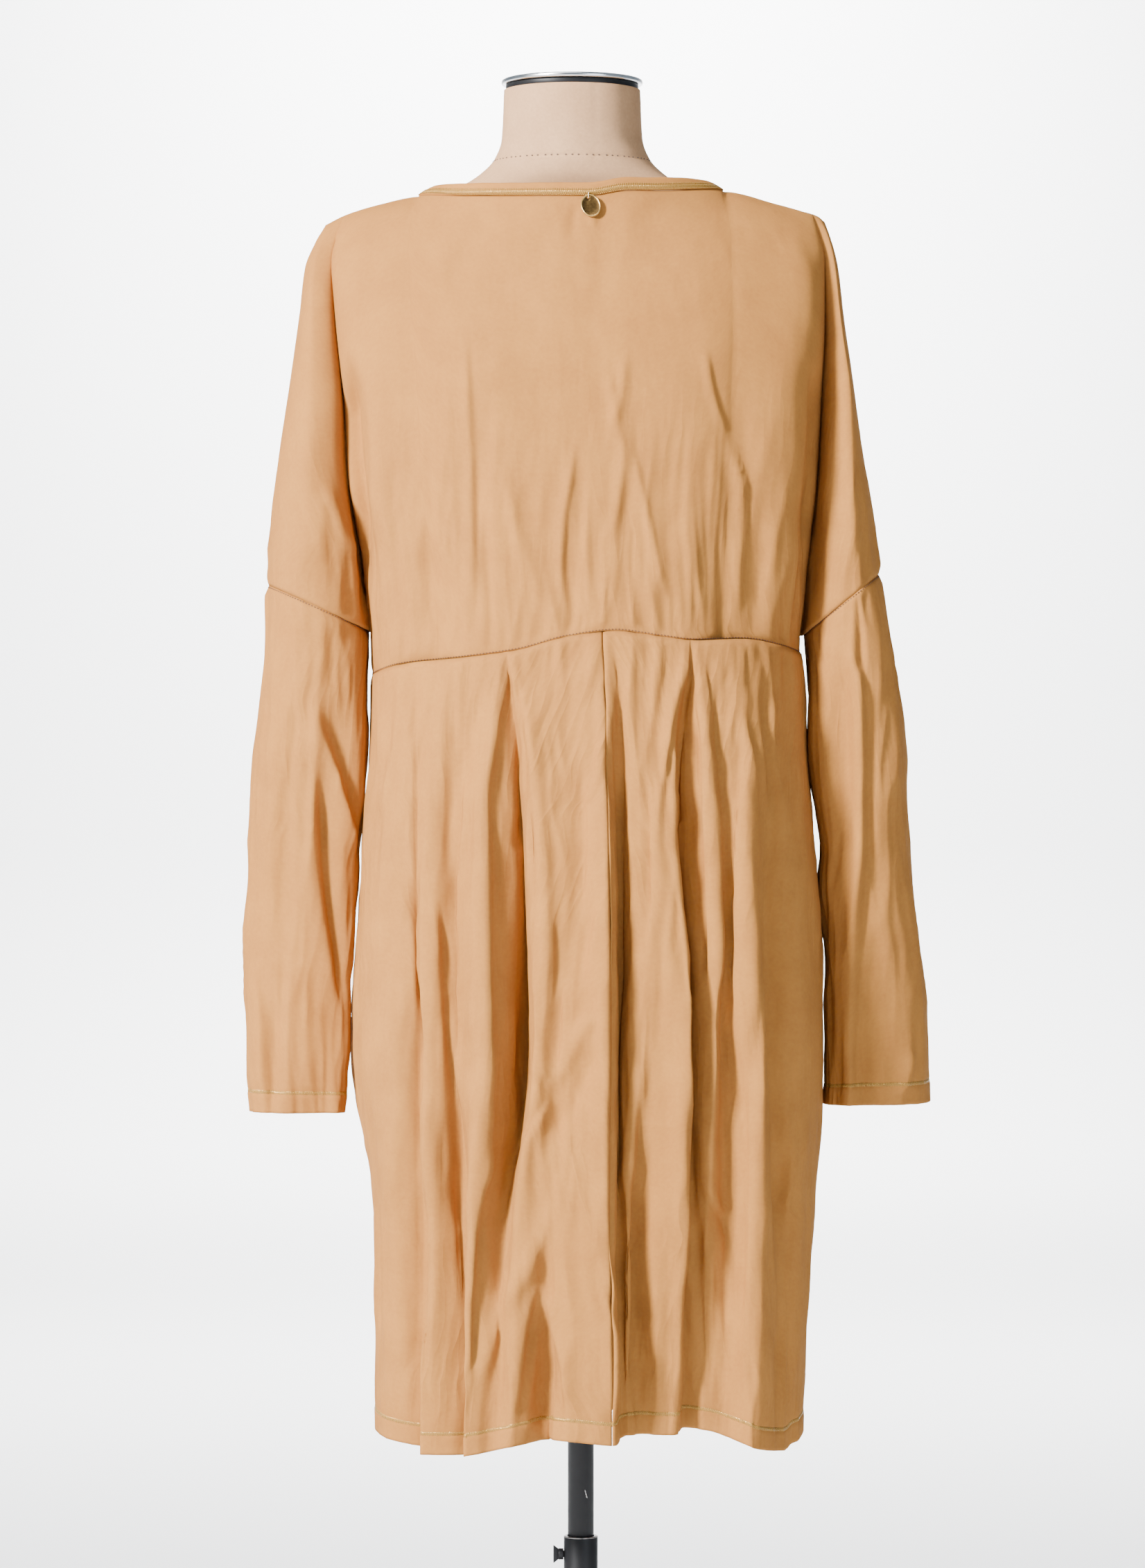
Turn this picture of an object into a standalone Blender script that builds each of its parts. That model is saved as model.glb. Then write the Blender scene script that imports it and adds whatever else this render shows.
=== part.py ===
"""Midi dress with dropped-shoulder sleeves, draped on a limbless dress form and its stand.

Metres, +Z up. The origin is on the floor under the pole, the back of the dress faces -Y.
Each cloth piece is a thin wall between an outer surface, which a function works out from
named sizes and the section and fold tables below, and an inner surface set inwards.
"""

import math
from functools import partial

import bmesh
import bpy
from mathutils import Vector

for thing in list(bpy.data.objects):
    bpy.data.objects.remove(thing)

# ---------------------------------------------------------------- driving dimensions

CLOTH = 0.0015             # wall of the jersey, a little more than the real cloth
BINDING_CLOTH = 0.0024     # turned neck binding, several layers thick
SEAM = 0.0003              # gap between two pieces that are sewn to each other
TOUCH = 0.0003             # gap between two hard pieces that rest on each other

BACK, FRONT = -1, 1        # sign of Y on each side of the shoulder line
BODY_SQUARENESS = 2.6      # exponent of the body and skirt sections, 2 is an ellipse

# Shoulder line, seen from the back: height of the cloth over each place across.
SHOULDER_LINE = (
    # across, height
    (-0.206, 1.4216),
    (-0.190, 1.4296),
    (-0.161, 1.4385),
    (-0.131, 1.4445),
    (0.115, 1.4485),
    (0.158, 1.4385),
    (0.179, 1.4326),
    (0.191, 1.4288),
    (0.197, 1.4239),
)

# Waist seam on the back, from the left side seam to the right one.
WAIST_LINE = (
    # across, height
    (-0.168, 1.0580),
    (-0.146, 1.0646),
    (-0.090, 1.0701),
    (-0.050, 1.0755),
    (-0.010, 1.0860),
    (0.028, 1.0905),
    (0.060, 1.0865),
    (0.090, 1.0832),
    (0.128, 1.0848),
    (0.164, 1.0786),
    (0.177, 1.0745),
)

NECK_LEFT, NECK_RIGHT = -0.131, 0.115      # ends of the neck opening on the shoulder line
NECK_BACK_DEPTH, NECK_FRONT_DEPTH = 0.068, 0.074
BINDING_HEIGHT = 0.0105
BINDING_PROUD, BINDING_CROWN = 0.0002, 0.0008    # beyond the cloth, at its edges and middle
BINDING_LEAN = math.radians(58)            # of the band towards the neck, on the shoulders
BINDING_FOOT = 0.0005                      # of the band above the edge that it is sewn to

# Height of the neck edge; on the back it steps up just right of the charm.
NECK_BACK_LINE = (
    # across, height
    (-0.131, 1.4445),
    (-0.090, 1.4394),
    (-0.040, 1.4378),
    (0.006, 1.4376),
    (0.036, 1.4424),
    (0.060, 1.4431),
    (0.090, 1.4455),
    (0.115, 1.4485),
)
NECK_FRONT_LINE = (
    # across, height
    (-0.131, 1.4445),
    (-0.110, 1.4395),
    (-0.080, 1.4275),
    (-0.040, 1.4155),
    (-0.008, 1.4120),
    (0.030, 1.4155),
    (0.068, 1.4295),
    (0.095, 1.4415),
    (0.115, 1.4485),
)

# Upper sleeve and armhole valley, from the shoulder line (0) down to the underarm (1).
# Depths are measured from the middle plane, the same to the back and to the front.
UPPER_LEFT = (
    # down, outer edge, crest across, crest depth, valley across, valley depth
    (0.00, -0.2060, -0.2000, 0.034, -0.1900, 0.034),
    (0.04, -0.2128, -0.2050, 0.044, -0.1950, 0.042),
    (0.12, -0.2228, -0.2125, 0.050, -0.2000, 0.046),
    (0.25, -0.2268, -0.2140, 0.051, -0.1970, 0.038),
    (0.45, -0.2352, -0.2130, 0.052, -0.1900, 0.032),
    (0.65, -0.2437, -0.2150, 0.053, -0.1860, 0.024),
    (0.85, -0.2510, -0.2140, 0.054, -0.1745, 0.011),
    (1.00, -0.2526, -0.2120, 0.054, -0.1680, 0.002),
)
UPPER_RIGHT = (
    # down, outer edge, crest across, crest depth, valley across, valley depth
    (0.00, 0.1970, 0.1925, 0.034, 0.1870, 0.034),
    (0.04, 0.2010, 0.1970, 0.044, 0.1905, 0.042),
    (0.12, 0.2065, 0.2025, 0.050, 0.1955, 0.045),
    (0.25, 0.2106, 0.2065, 0.052, 0.1955, 0.037),
    (0.45, 0.2190, 0.2130, 0.054, 0.1930, 0.030),
    (0.65, 0.2275, 0.2160, 0.055, 0.1895, 0.022),
    (0.85, 0.2363, 0.2170, 0.056, 0.1815, 0.010),
    (1.00, 0.2410, 0.2180, 0.056, 0.1770, 0.002),
)

# Half depth of the bodice over the trunk, from the shoulder line (0) to the waist seam (1).
TRUNK = (
    # down, back depth, front depth
    (0.00, 0.104, 0.104),
    (0.20, 0.110, 0.120),
    (0.40, 0.114, 0.134),
    (0.65, 0.118, 0.132),
    (1.00, 0.118, 0.114),
)
SHOULDER_ROUND = 0.42      # share of the bodice's length over which the shoulder rounds off
SHOULDER_POWER, NAPE_POWER = 0.55, 1.05    # below 1 the cloth leaves its top edge flat
UNDERARM = 0.92            # row of the bodice where the sleeve parts from the body
UNDERARM_LEFT, UNDERARM_RIGHT = 1.0929, 1.0896
DROP_LEFT, DROP_RIGHT = 1.1300, 1.1390     # outer ends of the dropped armhole seams

# Sleeves, from the dropped armhole seam (0) to the cuff (1). The crests are the places where
# the hanging sleeve stands farthest from the middle plane.
SLEEVE_LEFT = (
    # down, outer, outer y, inner, inner y, back crest, back depth, front crest, front depth
    (0.00, -0.2526, 0.000, -0.1705, 0.000, -0.2120, 0.054, -0.2120, 0.054),
    (0.13, -0.2550, 0.000, -0.1715, 0.000, -0.2110, 0.052, -0.2140, 0.053),
    (0.35, -0.2660, 0.002, -0.1765, 0.002, -0.2200, 0.046, -0.2240, 0.050),
    (0.51, -0.2690, 0.004, -0.1825, 0.002, -0.2210, 0.040, -0.2300, 0.047),
    (0.72, -0.2716, 0.004, -0.1870, 0.002, -0.2240, 0.036, -0.2340, 0.044),
    (0.89, -0.2705, 0.004, -0.1900, 0.002, -0.2300, 0.036, -0.2330, 0.042),
    (1.00, -0.2670, 0.004, -0.1935, 0.002, -0.2300, 0.037, -0.2320, 0.042),
)
SLEEVE_RIGHT = (
    # down, outer, outer y, inner, inner y, back crest, back depth, front crest, front depth
    (0.00, 0.2410, 0.000, 0.1795, 0.000, 0.2180, 0.056, 0.2180, 0.056),
    (0.13, 0.2503, 0.008, 0.1828, 0.000, 0.2245, 0.057, 0.2230, 0.056),
    (0.31, 0.2615, 0.014, 0.1866, 0.000, 0.2280, 0.056, 0.2300, 0.056),
    (0.53, 0.2665, 0.018, 0.1965, 0.000, 0.2280, 0.054, 0.2370, 0.056),
    (0.73, 0.2770, 0.022, 0.1990, 0.000, 0.2240, 0.052, 0.2430, 0.056),
    (0.88, 0.2818, 0.024, 0.2000, 0.000, 0.2190, 0.050, 0.2470, 0.056),
    (1.00, 0.2828, 0.026, 0.2000, 0.000, 0.2140, 0.048, 0.2480, 0.056),
)
CUFF_LEFT, CUFF_RIGHT = 0.7060, 0.7130

# Skirt, by share of its length from the waist seam (0) to the hem (1).
SKIRT = (
    # down, left side seam, right side seam, back depth, front depth
    (0.000, -0.1680, 0.1770, 0.118, 0.114),
    (0.206, -0.1690, 0.1860, 0.134, 0.126),
    (0.492, -0.1790, 0.1945, 0.150, 0.138),
    (0.730, -0.1640, 0.1870, 0.152, 0.138),
    (1.000, -0.1630, 0.1765, 0.148, 0.132),
)
FOLD_LEVELS = (0.0, 0.206, 0.492, 0.730, 1.0)

# Folds of the back skirt, left to right: where each line runs at the five levels, how far it
# stands out (+) or in (-) at the lower four, and the height of the hem on it. All in mm.
BACK_FOLDS = (
    # name, waist, hip, thigh, knee, hem, out at hip, thigh, knee, hem, hem height
    ("side_left", -168, -169, -179, -164, -163, 0, 0, 0, 0, 458),
    ("ridge_a", -144, -146, -138, -146, -147, 6, 11, 9, 7, 452),
    ("valley_a", -129, -129, -125, -122, -126, -1, -4, -9, -8, 447),
    ("ridge_b", -107, -114, -114, -116, -117, 2, 6, 9, 11, 444),
    ("valley_b", -83, -99, -102, -95, -90, -4, -12, -15, -10, 444),
    ("pleat_left_out", -62, -72, -70, -83, -85, 4, 12, 10, 12, 445),
    ("pleat_left", -58.5, -52, -50, -66, -68, -20, -38, -16, 2, 449),
    ("pleat_left_in", -55, -35, -30, -47, -52, 4, 12, 4, 8, 453),
    ("valley_c", -34, -21, -16, -28, -29, 4, 6, 2, -20, 457),
    ("ridge_c", -13, -5, -3, -7, -12, 4, 8, 10, 9, 458),
    ("centre", 17, 21, 23, 22, 23, 9, 17, 15, 12, 455),
    ("valley_d", 28, 33.5, 32.5, 30, 32, -5, -13, -9, -5, 459),
    ("ridge_d", 40, 43, 44, 36, 37, 1, 1, -2, -4, 461),
    ("valley_e", 53, 53, 55, 43, 53, 1, 2, -14, -17, 461),
    ("pleat_right_in", 82.5, 69, 81, 82, 74, 6, 12, 2, -10, 460),
    ("pleat_right", 87, 86, 90, 88, 95, -20, -30, -20, -26, 464),
    ("pleat_right_out", 91.5, 100, 105, 102, 109, 4, 2, -7, -16, 462),
    ("valley_f", 100, 109.5, 117, 121, 119, -2, -11, -14, -9, 458),
    ("ridge_f", 121, 122.5, 131, 134, 125, 8, 15, 13, 14, 450),
    ("valley_g", 145, 146, 148, 156, 158, 0, -3, 2, 4, 443),
    ("ridge_g", 158, 163, 168, 169, 166, 4, 7, 6, 5, 447),
    ("side_right", 177, 186, 194.5, 187, 176.5, 0, 0, 0, 0, 459),
)
BACK_STEPS = (4, 2, 2, 2, 2, 2, 2, 2, 2, 3, 2, 2, 2, 2, 2, 2, 2, 2, 3, 2, 3)
CENTRE_BACK = 10           # row of the table that is the centre back seam

# Folds of the front skirt, which hangs plainly with two soft pleats like those of the back.
FRONT_FOLDS = (
    # name, waist, hip, thigh, knee, hem, out at hip, thigh, knee, hem, hem height
    ("side_left", -168, -169, -179, -164, -163, 0, 0, 0, 0, 458),
    ("ridge_a", -156, -162, -172, -160, -156, 5, 9, 6, 4, 456),
    ("valley_a", -128, -134, -140, -136, -130, -2, -7, -8, -6, 454),
    ("ridge_b", -100, -104, -108, -110, -108, 4, 9, 11, 11, 448),
    ("valley_b", -78, -82, -80, -84, -82, -3, -10, -12, -8, 450),
    ("pleat_left_out", -68, -68, -63, -60, -58, 4, 10, 11, 12, 446),
    ("pleat_left", -62, -49, -43, -42, -40, -16, -24, -15, -8, 450),
    ("pleat_left_in", -56, -30, -22, -22, -22, 4, 9, 6, 7, 448),
    ("centre", 5, 6, 8, 6, 4, 5, 6, 4, 0, 451),
    ("pleat_right_in", 66, 42, 36, 38, 36, 4, 9, 8, 9, 447),
    ("pleat_right", 72, 61, 56, 58, 60, -16, -24, -18, -10, 450),
    ("pleat_right_out", 78, 80, 78, 78, 82, 4, 10, 9, 11, 446),
    ("valley_c", 102, 106, 106, 108, 108, -2, -9, -12, -8, 451),
    ("ridge_c", 126, 132, 136, 134, 130, 4, 9, 10, 10, 448),
    ("valley_d", 150, 156, 162, 156, 150, -1, -6, -7, -5, 454),
    ("ridge_d", 166, 176, 186, 178, 168, 4, 7, 5, 4, 457),
    ("side_right", 177, 186, 194.5, 187, 176.5, 0, 0, 0, 0, 459),
)
FRONT_STEPS = (2, 3, 2, 2, 2, 2, 2, 3, 3, 2, 2, 2, 2, 2, 3, 2)

# Dress form: half width, back depth and front depth of the trunk at each height.
FORM = (
    # height, half width, back depth, front depth
    (0.800, 0.140, 0.092, 0.088),
    (0.860, 0.153, 0.100, 0.096),
    (0.930, 0.156, 0.101, 0.098),
    (1.020, 0.140, 0.090, 0.092),
    (1.100, 0.124, 0.080, 0.088),
    (1.150, 0.121, 0.078, 0.088),
    (1.220, 0.134, 0.086, 0.104),
    (1.290, 0.150, 0.096, 0.116),
    (1.350, 0.168, 0.092, 0.096),
    (1.385, 0.184, 0.074, 0.074),
    (1.405, 0.185, 0.056, 0.056),
    (1.4203, 0.176, 0.046, 0.045),
    (1.4293, 0.158, 0.042, 0.042),
    (1.4353, 0.138, 0.042, 0.041),
    (1.4411, 0.119, 0.044, 0.041),
    (1.448, 0.099, 0.049, 0.046),
    (1.460, 0.077, 0.054, 0.051),
    (1.474, 0.063, 0.056, 0.055),
    (1.490, 0.057, 0.055, 0.055),
    (1.530, 0.055, 0.055, 0.055),
)
FORM_X = -0.0070           # middle of the form, which stands turned a little on its pole
FORM_SQUARENESS = 2.3
NECK_START, NECK_ROUND = 1.440, 1.480      # between these its section turns to a circle
FORM_SIDES = 32
FORM_EXTRA_RINGS = (0.890, 0.975, 1.060, 1.185, 1.255, 1.320)

CAP_RADIUS, CAP_NECK_RADIUS = 0.0535, 0.0492
CAP_HEIGHT, CAP_STEP = 0.0075, 0.0042
RING_OUTER, RING_INNER, RING_THICKNESS = 0.0570, 0.0496, 0.0038

POLE_RADIUS = 0.0105
POLE_BOTTOM = 0.160
FLANGE_RADIUS, FLANGE_THICKNESS = 0.036, 0.005
TUBE_OUTER, TUBE_INNER = 0.0137, 0.0112
TUBE_BOTTOM, TUBE_TOP = 0.020, 0.3630

BASE_RADIUS, BASE_EDGE = 0.160, 0.009
BASE_BOSS_RADIUS, BASE_BOSS_TOP = 0.026, 0.046

SCREW_HEIGHT = 0.348       # height of the lock screw's axis
SCREW_RADIUS, SCREW_HOLE = 0.0026, 0.0030
SCREW_HEAD_RADIUS, SCREW_HEAD_LENGTH = 0.0046, 0.0040
WING_SPAN, WING_REACH, WING_THICKNESS = 0.0150, 0.0052, 0.0024

CHARM_WIDTH, CHARM_LENGTH, CHARM_THICKNESS = 0.0156, 0.0198, 0.0012
CHARM_RIM = 0.0004         # how far the rim stands up
CHARM_HOLE = 0.0016        # radius of the hole that the thread goes through
CHARM_HOLE_INSET = 0.0026  # from the edge of the charm to the middle of that hole
CHARM_ACROSS = 0.0060      # where the thread is sewn to the binding
CHARM_TILT = math.radians(15)
LOOP_HALF_LENGTH, LOOP_HALF_WIDTH, LOOP_THREAD = 0.0022, 0.0018, 0.00035
LOOP_LEAN = math.radians(22)
LOOP_CLEARANCE = 0.0012    # of its upper end from the binding
STITCH_HEIGHT = 1.4400     # where the loop is sewn to the binding

# Rows of each panel's wall, as shares of the way down, and strips between its named lines.
BODICE_ROWS = (
    0.0, 0.012, 0.04, 0.085, 0.14, 0.21, 0.29, 0.38, 0.48, 0.58, 0.68, 0.78, 0.86,
    UNDERARM, 1.0,
)
BODICE_STEPS = (3, 4, 4, 12, 4, 4, 3)
SKIRT_ROWS = (
    0.0, 0.035, 0.08, 0.14, 0.206, 0.28, 0.35, 0.42, 0.492, 0.57, 0.65, 0.73, 0.81,
    0.90, 1.0,
)
SLEEVE_ROWS = (0.0, 0.06, 0.13, 0.22, 0.31, 0.42, 0.53, 0.63, 0.73, 0.82, 0.91, 1.0)
SLEEVE_STEPS = (5, 5, 5, 5)
NEAR = 0.002               # step along a surface to read its direction
VALLEY_REACH = 0.25        # distance to each side of the sharp valley to read its own

# ---------------------------------------------------------------- helpers


def curve(stations, values):
    """Smooth curve through the given values that never overshoots them."""
    count = len(stations)
    steps = [stations[i + 1] - stations[i] for i in range(count - 1)]
    rises = [(values[i + 1] - values[i]) / steps[i] for i in range(count - 1)]
    slopes = [rises[0]] + [0.0] * (count - 2) + [rises[-1]]
    for i in range(1, count - 1):
        if rises[i - 1] * rises[i] > 0:
            first = 2 * steps[i] + steps[i - 1]
            second = steps[i] + 2 * steps[i - 1]
            slopes[i] = (first + second) / (first / rises[i - 1] + second / rises[i])

    def value(at):
        at = min(max(at, stations[0]), stations[-1])
        i = 0
        while i < count - 2 and at > stations[i + 1]:
            i += 1
        t = (at - stations[i]) / steps[i]
        return (
            (1 + 2 * t) * (1 - t) ** 2 * values[i]
            + t * (1 - t) ** 2 * steps[i] * slopes[i]
            + t * t * (3 - 2 * t) * values[i + 1]
            + t * t * (t - 1) * steps[i] * slopes[i + 1]
        )

    return value


def columns(rows):
    """One smooth curve for each column of a table, read by its first column."""
    stations = [row[0] for row in rows]
    return [
        curve(stations, [row[column] for row in rows]) for column in range(1, len(rows[0]))
    ]


def blend(start, end, share):
    return start + (end - start) * share


def round_off(share, squareness):
    """Depth of a rounded section, from 1 in its middle to 0 at its edge (share is 1)."""
    return max(0.0, 1.0 - abs(share) ** squareness) ** (1.0 / squareness)


def shares(*counts):
    """Whole-number stations 0, 1, 2 ... with counts[i] equal steps between i and i + 1."""
    found = [0.0]
    for i, count in enumerate(counts):
        found += [i + (step + 1) / count for step in range(count)]
    return found


def material(name, colour, roughness, metallic=0.0):
    made = bpy.data.materials.new(name)
    made.use_nodes = True
    shader = made.node_tree.nodes["Principled BSDF"]
    shader.inputs["Base Color"].default_value = (*colour, 1.0)
    shader.inputs["Roughness"].default_value = roughness
    shader.inputs["Metallic"].default_value = metallic
    return made


def keep(name, mesh, surface, smooth_angle=40):
    """Put a finished mesh in the dress's collection under its part's name."""
    made = bpy.data.objects.new(name, mesh)
    mesh.materials.append(surface)
    mesh.shade_smooth()
    mesh.set_sharp_from_angle(angle=math.radians(smooth_angle))
    parts.objects.link(made)
    return made


def mesh_of(name, shape):
    mesh = bpy.data.meshes.new(name)
    shape.to_mesh(mesh)
    shape.free()
    return mesh


def normal_of(surface, u, v):
    """Outward direction of a surface, from points a little way to each side."""
    across = surface(u + NEAR, v) - surface(u - NEAR, v)
    down = surface(u, v + NEAR) - surface(u, v - NEAR)
    return down.cross(across).normalized()


def wall(name, points, outward, thickness, surface, closed=False):
    """Closed wall between a grid of outer points and the same grid set inwards.

    points is a list of rows; a None leaves that place of the grid empty.
    """
    shape = bmesh.new()
    outer, inner = [], []
    for row, directions in zip(points, outward):
        outer.append([p and shape.verts.new(p) for p in row])
        inner.append([
            p and shape.verts.new(p - thickness * n) for p, n in zip(row, directions)
        ])
    last = len(points[0]) - (0 if closed else 1)
    for i in range(len(points) - 1):
        for j in range(last):
            k = (j + 1) % len(points[0])
            ring = ((i, j), (i, k), (i + 1, k), (i + 1, j))
            if all(outer[a][b] for a, b in ring):
                shape.faces.new([outer[a][b] for a, b in ring])
                shape.faces.new([inner[a][b] for a, b in reversed(ring)])
    partner = {a: b for row, other in zip(outer, inner) for a, b in zip(row, other) if a}
    for edge in [e for e in shape.edges if e.is_boundary and e.verts[0] in partner]:
        a, b = edge.verts
        shape.faces.new((a, b, partner[b], partner[a]))
    loose = [v for v in shape.verts if not v.link_faces]
    bmesh.ops.delete(shape, geom=loose, context="VERTS")
    bmesh.ops.recalc_face_normals(shape, faces=shape.faces)
    return keep(name, mesh_of(name, shape), surface, smooth_angle=60)


def loft(name, rings, surface):
    """Closed solid through a stack of rings with the same number of points."""
    shape = bmesh.new()
    made = [[shape.verts.new(p) for p in ring] for ring in rings]
    count = len(rings[0])
    for lower, upper in zip(made, made[1:]):
        for j in range(count):
            k = (j + 1) % count
            shape.faces.new((lower[j], lower[k], upper[k], upper[j]))
    shape.faces.new(list(reversed(made[0])))
    shape.faces.new(made[-1])
    bmesh.ops.recalc_face_normals(shape, faces=shape.faces)
    return keep(name, mesh_of(name, shape), surface)


def turned(name, profile, surface, sides=32, axis_at=(0.0, 0.0)):
    """Solid of revolution about a vertical axis; the profile runs down its outer side."""
    shape = bmesh.new()
    verts = [shape.verts.new((radius, 0.0, height)) for radius, height in profile]
    for first, second in zip(verts, verts[1:] + verts[:1]):
        if profile[verts.index(first)][0] > 0 or profile[verts.index(second)][0] > 0:
            shape.edges.new((first, second))
    made = keep(name, mesh_of(name, shape), surface)
    made.location = (*axis_at, 0.0)
    screw = made.modifiers.new("Turn", "SCREW")
    screw.axis = "Z"
    screw.steps = sides
    screw.render_steps = sides
    screw.use_merge_vertices = True
    screw.merge_threshold = 0.00001
    return made


# ---------------------------------------------------------------- cloth surfaces

shoulder_height = columns(SHOULDER_LINE)[0]
waist_height = columns(WAIST_LINE)[0]
upper_left, upper_right = columns(UPPER_LEFT), columns(UPPER_RIGHT)
trunk = columns(TRUNK)
neck_middle = (NECK_LEFT + NECK_RIGHT) / 2
neck_half = (NECK_RIGHT - NECK_LEFT) / 2


def neck_share(x):
    """1 on the centre line of the neck opening, 0 on the shoulders."""
    return max(0.0, 1.0 - ((x - neck_middle) / neck_half) ** 2)


def tip_angle(tip, middle, half):
    return math.acos(-(tip - middle) / half)


# The bodice's columns run from the left edge of the upper arm to the right one:
# 0 edge, 1 crest, 2 armhole valley, 3 neck, 4 neck, 5 valley, 6 crest, 7 edge.
top_left, top_right = upper_left[3](0.0), upper_right[3](0.0)
top_middle, top_half = (top_left + top_right) / 2, (top_right - top_left) / 2
TRUNK_ANGLES = (
    0.0,
    tip_angle(NECK_LEFT, top_middle, top_half),
    tip_angle(NECK_RIGHT, top_middle, top_half),
    math.pi,
)


def trunk_share(u):
    """Place across the trunk, -1 at the left valley and 1 at the right one."""
    i = min(int(u - 2), 2)
    return -math.cos(blend(TRUNK_ANGLES[i], TRUNK_ANGLES[i + 1], u - 2 - i))


def upper_arm(sides, turn, down):
    """Across and depth of the upper sleeve: turn is 0 at its edge, 1 crest, 2 valley."""
    edge, crest, crest_depth, valley, valley_depth = (column(down) for column in sides)
    if turn < 1:
        angle = turn * math.pi / 2
        return crest + (edge - crest) * math.cos(angle), crest_depth * math.sin(angle)
    angle = (turn - 1) * math.pi / 2
    depth = valley_depth + (crest_depth - valley_depth) * math.cos(angle)
    return crest + (valley - crest) * math.sin(angle), depth


def bodice_plan(u, v, depth_of):
    """Across and depth of the bodice at one place, before the shoulder is rounded."""
    down = min(v / UNDERARM, 1.0)
    if u < 2:
        return upper_arm(upper_left, u, down)
    if u > 5:
        return upper_arm(upper_right, 7 - u, down)
    left, right = upper_left[3](down), upper_right[3](down)
    below = max(0.0, (v - UNDERARM) / (1 - UNDERARM))
    share = trunk_share(u)
    valley = blend(upper_left[4](down), upper_right[4](down), (share + 1) / 2) * (1 - below)
    depth = valley + (depth_of(v) - valley) * round_off(share, BODY_SQUARENESS)
    return blend(left, right, (share + 1) / 2), depth


def drop_seam(sides, edge, underarm):
    """Height of a dropped armhole seam over each place across: one straight slope."""
    outer, valley = sides[0](1.0), sides[3](1.0)

    def height(x):
        return blend(edge, underarm, (x - outer) / (valley - outer))

    return height


drop_left = drop_seam(upper_left, DROP_LEFT, UNDERARM_LEFT)
drop_right = drop_seam(upper_right, DROP_RIGHT, UNDERARM_RIGHT)


def bodice(side):
    """Outer surface of the back or front bodice as a function of its columns and rows."""
    depth_of = trunk[0] if side == BACK else trunk[1]
    neck_depth = NECK_BACK_DEPTH if side == BACK else NECK_FRONT_DEPTH
    neck_height = columns(NECK_BACK_LINE if side == BACK else NECK_FRONT_LINE)[0]

    def surface(u, v):
        u, v = min(max(u, 0.0), 7.0), min(max(v, 0.0), 1.0)
        x, depth = bodice_plan(u, v, depth_of)
        top_x = bodice_plan(u, 0.0, depth_of)[0]
        middle = neck_share(top_x) if 3 < u < 4 else 0.0
        top_depth = neck_depth * math.sqrt(middle)
        power = blend(SHOULDER_POWER, NAPE_POWER, math.sqrt(middle))
        rounding = math.sin(math.pi / 2 * min(1.0, v / SHOULDER_ROUND)) ** power
        y = side * blend(top_depth, depth, rounding)
        top = neck_height(top_x) if 3 <= u <= 4 else shoulder_height(top_x)
        if u < 2 or u > 5:
            bottom_x = bodice_plan(u, UNDERARM, depth_of)[0]
            bottom = drop_left(bottom_x) if u < 2 else drop_right(bottom_x)
            return Vector((x, y, blend(top, bottom, min(v / UNDERARM, 1.0))))
        share = trunk_share(u)
        waist = waist_at(side, bodice_plan(u, 1.0, depth_of)[0])
        underarm = UNDERARM_LEFT if share < 0 else UNDERARM_RIGHT
        middle_row = blend(blend(top, waist, UNDERARM), underarm, share ** 4)
        if v < UNDERARM:
            return Vector((x, y, blend(top, middle_row, v / UNDERARM)))
        return Vector((x, y, blend(middle_row, waist, (v - UNDERARM) / (1 - UNDERARM))))

    return surface


def waist_corners():
    """Corners of the back waist seam, one at each column of the bodice."""
    left, right = WAIST_LINE[0][0], WAIST_LINE[-1][0]
    corners = []
    for u in shares(*BODICE_STEPS):
        if 2 <= u <= 5:
            x = blend(left, right, (trunk_share(u) + 1) / 2)
            corners.append((x, waist_height(x)))
    return corners


WAIST_CORNERS = waist_corners()


def waist_at(side, x):
    """Height of the waist seam; the front one joins the same ends in a plain line."""
    left, right = WAIST_CORNERS[0], WAIST_CORNERS[-1]
    if side == BACK:
        x = min(max(x, left[0]), right[0])
        for start, end in zip(WAIST_CORNERS, WAIST_CORNERS[1:]):
            if x <= end[0]:
                return blend(start[1], end[1], (x - start[0]) / (end[0] - start[0]))
    return blend(left[1], right[1], (x - left[0]) / (right[0] - left[0]))


skirt_size = columns(SKIRT)


def skirt(side, folds):
    """Outer surface of the back or front skirt, by the number of the fold line and share down."""
    lines = [
        (
            curve(FOLD_LEVELS, [value / 1000 for value in row[1:6]]),
            curve(FOLD_LEVELS, [0.0] + [value / 1000 for value in row[6:10]]),
        )
        for row in folds
    ]
    numbers = list(range(len(folds)))
    hem_height = curve(numbers, [row[10] / 1000 for row in folds])
    rows = {}

    def level(down):
        """The angle and standing out of every fold line on one level."""
        if down not in rows:
            left, right = skirt_size[0](down), skirt_size[1](down)
            middle, half = (left + right) / 2, (right - left) / 2
            angles = [
                math.acos(min(1.0, max(-1.0, -(place(down) - middle) / half)))
                for place, _ in lines
            ]
            angles[0], angles[-1] = 0.0, math.pi
            outs = [out(down) for _, out in lines]
            depth = skirt_size[2 if side == BACK else 3](down)
            rows[down] = middle, half, depth, curve(numbers, angles), curve(numbers, outs)
        return rows[down]

    def place_on(number, down):
        middle, half, depth, angle_of, out_of = level(down)
        angle, out = angle_of(number), out_of(number)
        share = -math.cos(angle)
        x = middle + half * share + out * share
        y = side * (depth * round_off(share, BODY_SQUARENESS) + out * math.sin(angle))
        return x, y

    def surface(number, down):
        number, down = min(max(number, 0.0), numbers[-1]), min(max(down, 0.0), 1.0)
        x, y = place_on(number, down)
        waist = waist_at(side, place_on(number, 0.0)[0])
        return Vector((x, y, blend(waist, hem_height(number), down)))

    return surface


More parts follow.
